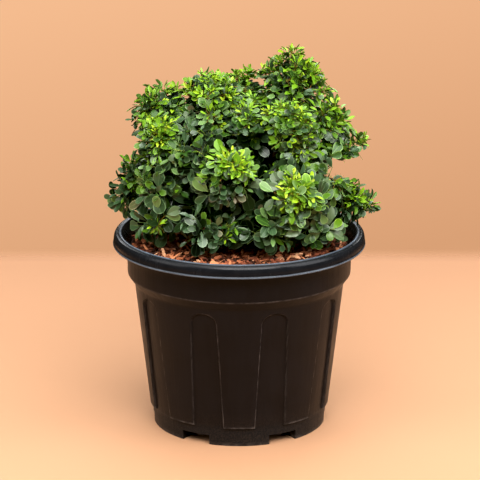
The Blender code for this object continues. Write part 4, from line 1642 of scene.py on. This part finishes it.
def grow_crown(seed):
    g = Grower(seed)
    rng = g.rng
    piece_of = {m: piece for piece, ms in PIECES.items() for m in ms}
    tips = place_tips(g)
    for mass, (centre, size, lead) in MASSES.items():
        centre = Vector(centre)
        tree = tree_of([nodes["foliage_" + mass]])
        g.piece = piece_of[mass]
        g.open = mass in OPEN
        if mass in BOUGH_STARTS:
            curve = bough_curve(mass)
            root = curve[2]
            way = (curve[2] - curve[1]).normalized()
        else:
            # the tuft behind the top has no bough of its own
            root = Vector((7.6, 5.5, 208.0))
            way = Vector((0.0, 0.25, 1.0)).normalized()
        top = centre + Vector((0, 0, size[2] * 0.30))
        if lead:
            top = centre + (Vector(lead) - centre) * 0.42
        top += Vector((rng.uniform(-2, 2), rng.uniform(-2, 2), 0))
        mid = root + way * (top - root).length * 0.5
        axis = [root * (1 - u) ** 2 + mid * 2 * u * (1 - u) + top * u * u
                for u in (k / 8 for k in range(9))]
        g.twigs.tube(axis, [lerp(1.25, 0.9, k / 8) for k in range(9)], 6,
                     g.tones.index("twig_brown"))
        first = 1000 * list(MASSES).index(mass) + 100000 * seed
        for k, (_, at, normal, fresh, style) in enumerate(
                t for t in tips if t[0] == mass):
            g.rng = random.Random(first + k)    # each shoot has its own seed
            g.leader = normal is None
            if normal is None:
                near, normal, _, _ = tree.find_nearest(at)
                normal = (normal + (at - centre).normalized()).normalized()
            lift = lerp(0.15, 0.55, smooth((at.z - 170) / 110))
            if style == "spire":
                lift = max(lift, 0.55 if at.z > 200 else 0.4)
            elif style in ("head", "rosette"):
                lift *= 0.7
            if style == "spray" and at.z < 243 and not g.open and fresh < (
                    0.56 if at.z < 200 else 0.4):
                style = "pads"
            tip_way = (normal * (1 - lift) + UP * lift).normalized()
            inset = {"spire": 5.0, "head": 6.0, "inner": 0.0}.get(style, 5.0)
            if g.open:
                inset = 8.5
            tip = at - tip_way * inset
            goal = tip - tip_way * 26.0
            best = min(range(1, 9), key=lambda k: (axis[k] - goal).length)
            start = axis[best]
            ahead = (axis[best] - axis[best - 1]).normalized()
            leave = (ahead * 0.6 + (tip - start).normalized()).normalized()
            g.shoot(start, leave, tip, tip_way, fresh, style)
    return g


# leaflet outlines: (how far along, half width) of each row
BROAD_ROWS = ((0.10, 0.13), (0.31, 0.58), (0.56, 0.95), (0.78, 0.95),
              (0.94, 0.57))
NARROW_ROWS = ((0.26, 0.60), (0.62, 1.0), (0.88, 0.64))
# PALE strips are the midrib of large leaflets and the margin of broad ones; on the
# margin the paleness is a painted highlight of edges catching light
TOP, UNDER, PALE = 0, 1, 2
MARGIN = 0.84               # where a leaflet's pale margin starts
# columns over the top, (share of the half width, shift off the midrib), and
# the colour of each strip between them
TOPS = {
    "large":  (((-1, 0), (-MARGIN, 0), (0, -1), (0, 1), (MARGIN, 0), (1, 0)),
               (PALE, TOP, PALE, TOP, PALE)),
    "broad":  (((-1, 0), (-MARGIN, 0), (0, 0), (MARGIN, 0), (1, 0)),
               (PALE, TOP, TOP, PALE)),
    "narrow": (((-1, 0), (0, 0), (1, 0)), (TOP, TOP)),
}


def leaf_template(kind):
    """Vertices (across, along, under, rib) and faces (indices, part)."""
    rows = NARROW_ROWS if kind == "narrow" else BROAD_ROWS
    columns, parts = TOPS[kind]
    ends = TOP if kind == "narrow" else PALE
    verts = [(0.0, 0.0, 0.0, 0.0)]
    faces = []
    wide = len(columns) + 1
    for t, w in rows:
        verts += [(x * w, t, 0.0, float(rib)) for x, rib in columns]
        verts.append((0.0, t, 1.0, 0.0))
    tip = len(verts)
    verts.append((0.0, 1.0, 0.0, 0.0))

    def at(row, col):
        return 1 + row * wide + col

    end, low, right = len(rows) - 1, wide - 1, wide - 2
    for c, part in enumerate(parts):
        faces.append(((0, at(0, c + 1), at(0, c)), ends))
        for r in range(end):
            faces.append(((at(r, c), at(r, c + 1), at(r + 1, c + 1),
                           at(r + 1, c)), part))
        faces.append(((at(end, c), at(end, c + 1), tip), ends))
    faces.append(((0, at(0, 0), at(0, low)), UNDER))
    faces.append(((0, at(0, low), at(0, right)), UNDER))
    for r in range(end):
        faces.append(((at(r, 0), at(r + 1, 0), at(r + 1, low), at(r, low)),
                      UNDER))
        faces.append(((at(r, low), at(r + 1, low), at(r + 1, right),
                       at(r, right)), UNDER))
    faces.append(((at(end, 0), tip, at(end, low)), UNDER))
    faces.append(((at(end, low), tip, at(end, right)), UNDER))
    return np.array(verts), faces


def leaf_piece(name, tables, mats, index):
    """All the leaflets of one piece as a single mesh."""
    cos, loops, starts, mat_ids = [], [], [], []
    v_total = l_total = 0
    for kind, table in tables.items():
        template, faces = leaf_template(kind)
        n, m = len(table), len(template)
        data = np.array([row[:14] for row in table], float)
        tones = [row[14] for row in table]
        origin, along, face = data[:, 0:3], data[:, 3:6], data[:, 6:9]
        length, width, fold, curl, twist = data[:, 9:14].T
        across = np.cross(along, face)
        x0, t, under, rib = template.T
        half = width[:, None] / 2
        x = x0[None, :] * half
        x = x + rib[None, :] * (0.020 + 0.030 * (1 - t[None, :])) \
            * np.minimum(half, 4.0)
        y = t[None, :] * length[:, None]
        z = np.abs(x) * fold[:, None] * (1.15 - 0.45 * (x / half) ** 2) \
            - curl[:, None] * length[:, None] * t[None, :] ** 2
        thick = 0.30 * np.sin(np.pi * np.clip(t, 0.02, 0.98))[None, :]
        z = z - under[None, :] * (0.06 + thick * np.minimum(half / 3.5, 1))
        turn = twist[:, None] * (t[None, :] - 0.25)
        x, z = x * np.cos(turn) - z * np.sin(turn), \
            x * np.sin(turn) + z * np.cos(turn)
        co = (origin[:, None, :] + across[:, None, :] * x[:, :, None]
              + along[:, None, :] * y[:, :, None]
              + face[:, None, :] * z[:, :, None])
        cos.append(co.reshape(-1, 3) * MM)
        flat = np.array([i for f, _ in faces for i in f])
        sizes = np.array([len(f) for f, _ in faces])
        begin = np.concatenate([[0], np.cumsum(sizes)[:-1]])
        loops.append((flat[None, :] + v_total
                      + m * np.arange(n)[:, None]).ravel())
        starts.append((begin[None, :] + l_total
                       + len(flat) * np.arange(n)[:, None]).ravel())
        parts = np.array([p for _, p in faces])
        top = np.array([index[c] for c in tones])
        low = np.array([index[UNDER_OF[c]] for c in tones])
        mid = np.array([index[RIB_AND_HIGHLIGHT_OF[c]] for c in tones])
        choice = np.stack([top, low, mid], 1)
        mat_ids.append(choice[:, parts].ravel())
        v_total += n * m
        l_total += len(flat) * n
    co = np.concatenate(cos).astype(np.float32)
    loop = np.concatenate(loops).astype(np.int32)
    start = np.concatenate(starts).astype(np.int32)
    mat = np.concatenate(mat_ids).astype(np.int32)
    mesh = bpy.data.meshes.new(name)
    mesh.vertices.add(len(co))
    mesh.vertices.foreach_set("co", co.ravel())
    mesh.loops.add(len(loop))
    mesh.loops.foreach_set("vertex_index", loop)
    mesh.polygons.add(len(start))
    mesh.polygons.foreach_set("loop_start", start)
    mesh.polygons.foreach_set("material_index", mat)
    mesh.update(calc_edges=True)
    return finish_mesh(name, mesh, mats, 62)


def build_crown():
    g = grow_crown(20)
    mats, index = leaf_materials()
    for piece, masses in PIECES.items():
        obj = leaf_piece(piece, g.tables[piece], mats, index)
        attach(obj, "root")
        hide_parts(*["foliage_" + m for m in masses])
    mats = [plain(n, c, 0.62, 0.4) for n, c in TWIG_TONES.items()]
    for name, builder, slot in (("twigs", g.twigs, "bark"),
                                ("leaf_stalks", g.stalks, "foliage")):
        obj = builder.build(name, mats, 50)
        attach(obj, "root")
    print("leaflets", g.count)


# ======================================================================= stage
FLOOR_BACK = 0.459          # the floor's far edge
FLOOR_SIDE = 0.95           # its other edges, faded over a wide band


def build_floor():
    """A pale sheet, painted darker towards the back as a painted falloff of light,
    that ends softly behind the plant.
    """
    mat, s, n = patterned("floor", 0.30)
    at = n.where()
    cloud = n.noise(at, 3.0, 2.0, 0.5)
    base = n.mix(cloud, (0.418, 0.240, 0.141), (0.433, 0.252, 0.149))
    # painted shade: the floor's colour darkens towards the back
    back = n.range(n.add("ShaderNodeSeparateXYZ",
                         {"Vector": at}).outputs["Y"], 0.08, 0.45, 0.0, 1.0)
    base = n.mix(back, base, (0.350, 0.196, 0.114))
    n.link(base, s.inputs["Base Color"])
    s.inputs["Roughness"].default_value = 0.85
    split = n.add("ShaderNodeSeparateXYZ", {"Vector": at})
    side = n.math("ABSOLUTE", split.outputs["X"])
    front = n.math("MULTIPLY", split.outputs["Y"], -1.0)
    fade = None
    for value, start, end in (
            (split.outputs["Y"], FLOOR_BACK - 0.026, FLOOR_BACK + 0.026),
            (n.math("MAXIMUM", side, front), 0.42, FLOOR_SIDE)):
        soft = n.add("ShaderNodeMapRange",
                     {"Value": value, "From Min": start, "From Max": end,
                      "To Min": 0.0, "To Max": 1.0},
                     interpolation_type="SMOOTHSTEP").outputs[0]
        fade = soft if fade is None else n.math("MAXIMUM", fade, soft)
    clear = n.add("ShaderNodeBsdfTransparent")
    blend = n.add("ShaderNodeMixShader", {0: fade, 1: s.outputs[0],
                                          2: clear.outputs[0]})
    out = mat.node_tree.nodes["Material Output"]
    n.link(blend.outputs[0], out.inputs["Surface"])
    mesh = bpy.data.meshes.new("floor")
    mesh.from_pydata([(-FLOOR_SIDE, -FLOOR_SIDE, 0),
                      (FLOOR_SIDE, -FLOOR_SIDE, 0),
                      (FLOOR_SIDE, FLOOR_BACK + 0.03, 0),
                      (-FLOOR_SIDE, FLOOR_BACK + 0.03, 0)], [],
                     [(0, 1, 2, 3)])
    mesh.materials.append(mat)
    floor = bpy.data.objects.new("floor", mesh)
    bpy.context.scene.collection.objects.link(floor)


def build_world():
    """A warm backdrop, painted lighter upward and to the left as light falls on a
    wall, with a dimmer, more neutral light from it.
    """
    world = bpy.data.worlds.new("studio")
    bpy.context.scene.world = world
    world.use_nodes = True
    n = Nodes(world.node_tree)
    back = world.node_tree.nodes["Background"]
    coord = n.add("ShaderNodeTexCoord").outputs["Generated"]
    split = n.add("ShaderNodeSeparateXYZ", {"Vector": coord})
    # painted light on the backdrop seen: lighter upward and to the left, darker
    # towards the horizon
    high = n.range(split.outputs["Z"], -0.29, -0.20, 0.10, 0.86)
    left = n.range(split.outputs["X"], -0.09, 0.09, 0.17, -0.17)
    seen = n.mix(n.math("ADD", high, left), (0.735, 0.412, 0.232),
                 (0.925, 0.555, 0.332))
    glow = n.mix(n.range(split.outputs["Z"], -0.2, 0.9, 0.0, 1.0),
                 (0.064, 0.046, 0.028), (0.148, 0.142, 0.096))
    path = n.add("ShaderNodeLightPath").outputs["Is Camera Ray"]
    n.link(n.mix(path, glow, seen), back.inputs["Color"])
    back.inputs["Strength"].default_value = 1.0


def area_light(name, at, aim, size, energy, color):
    data = bpy.data.lights.new(name, "AREA")
    data.shape = "RECTANGLE"
    data.size, data.size_y = size
    data.energy = energy
    data.color = color
    obj = bpy.data.objects.new(name, data)
    obj.location = at
    way = Vector(aim) - Vector(at)
    obj.rotation_euler = way.to_track_quat("-Z", "Y").to_euler()
    obj.visible_camera = False
    bpy.context.scene.collection.objects.link(obj)
    return obj


def build_lights():
    area_light("overhead", (0.15, -0.60, 2.2), (0, 0, 0.12), (3.6, 2.8), 120,
               (1.0, 0.99, 0.98))
    area_light("front_high", (0.3, -2.3, 2.2), (0, 0, 0.12), (2.6, 1.4), 110,
               (1.0, 0.99, 0.97))
    area_light("back_high", (-0.1, 2.3, 1.7), (0, 0, 0.16), (3.0, 1.3), 58,
               (0.97, 0.99, 1.0))
    area_light("side_left", (-2.0, -0.8, 1.2), (0, 0, 0.10), (1.5, 1.5), 24,
               (1.0, 0.98, 0.96))
    area_light("side_right", (2.0, -0.7, 1.2), (0, 0, 0.10), (1.5, 1.5), 35,
               (0.98, 0.98, 1.0))


def build_camera():
    data = bpy.data.cameras.new("camera")
    data.lens = 2691.6 / 480 * 36
    data.sensor_width = 36
    data.sensor_fit = "HORIZONTAL"
    data.shift_x = 0.8 / 480
    data.clip_start = 0.1
    data.clip_end = 20
    cam = bpy.data.objects.new("camera", data)
    cam.location = (0.0, -2.1, 0.7775)
    cam.rotation_euler = (math.radians(90 - 16.58), 0, 0)
    bpy.context.scene.collection.objects.link(cam)
    bpy.context.scene.camera = cam


def main():
    build_pot()
    build_mulch()
    build_chips(11, 2100)
    build_limbs()
    build_crown()
    build_floor()
    build_world()
    build_lights()
    build_camera()
    view = bpy.context.scene.view_settings
    view.view_transform = "Standard"
    view.gamma = 0.86
    view.use_curve_mapping = True
    view.curve_mapping.black_level = (0.0034, 0.0033, 0.0040)
    view.curve_mapping.update()


main()
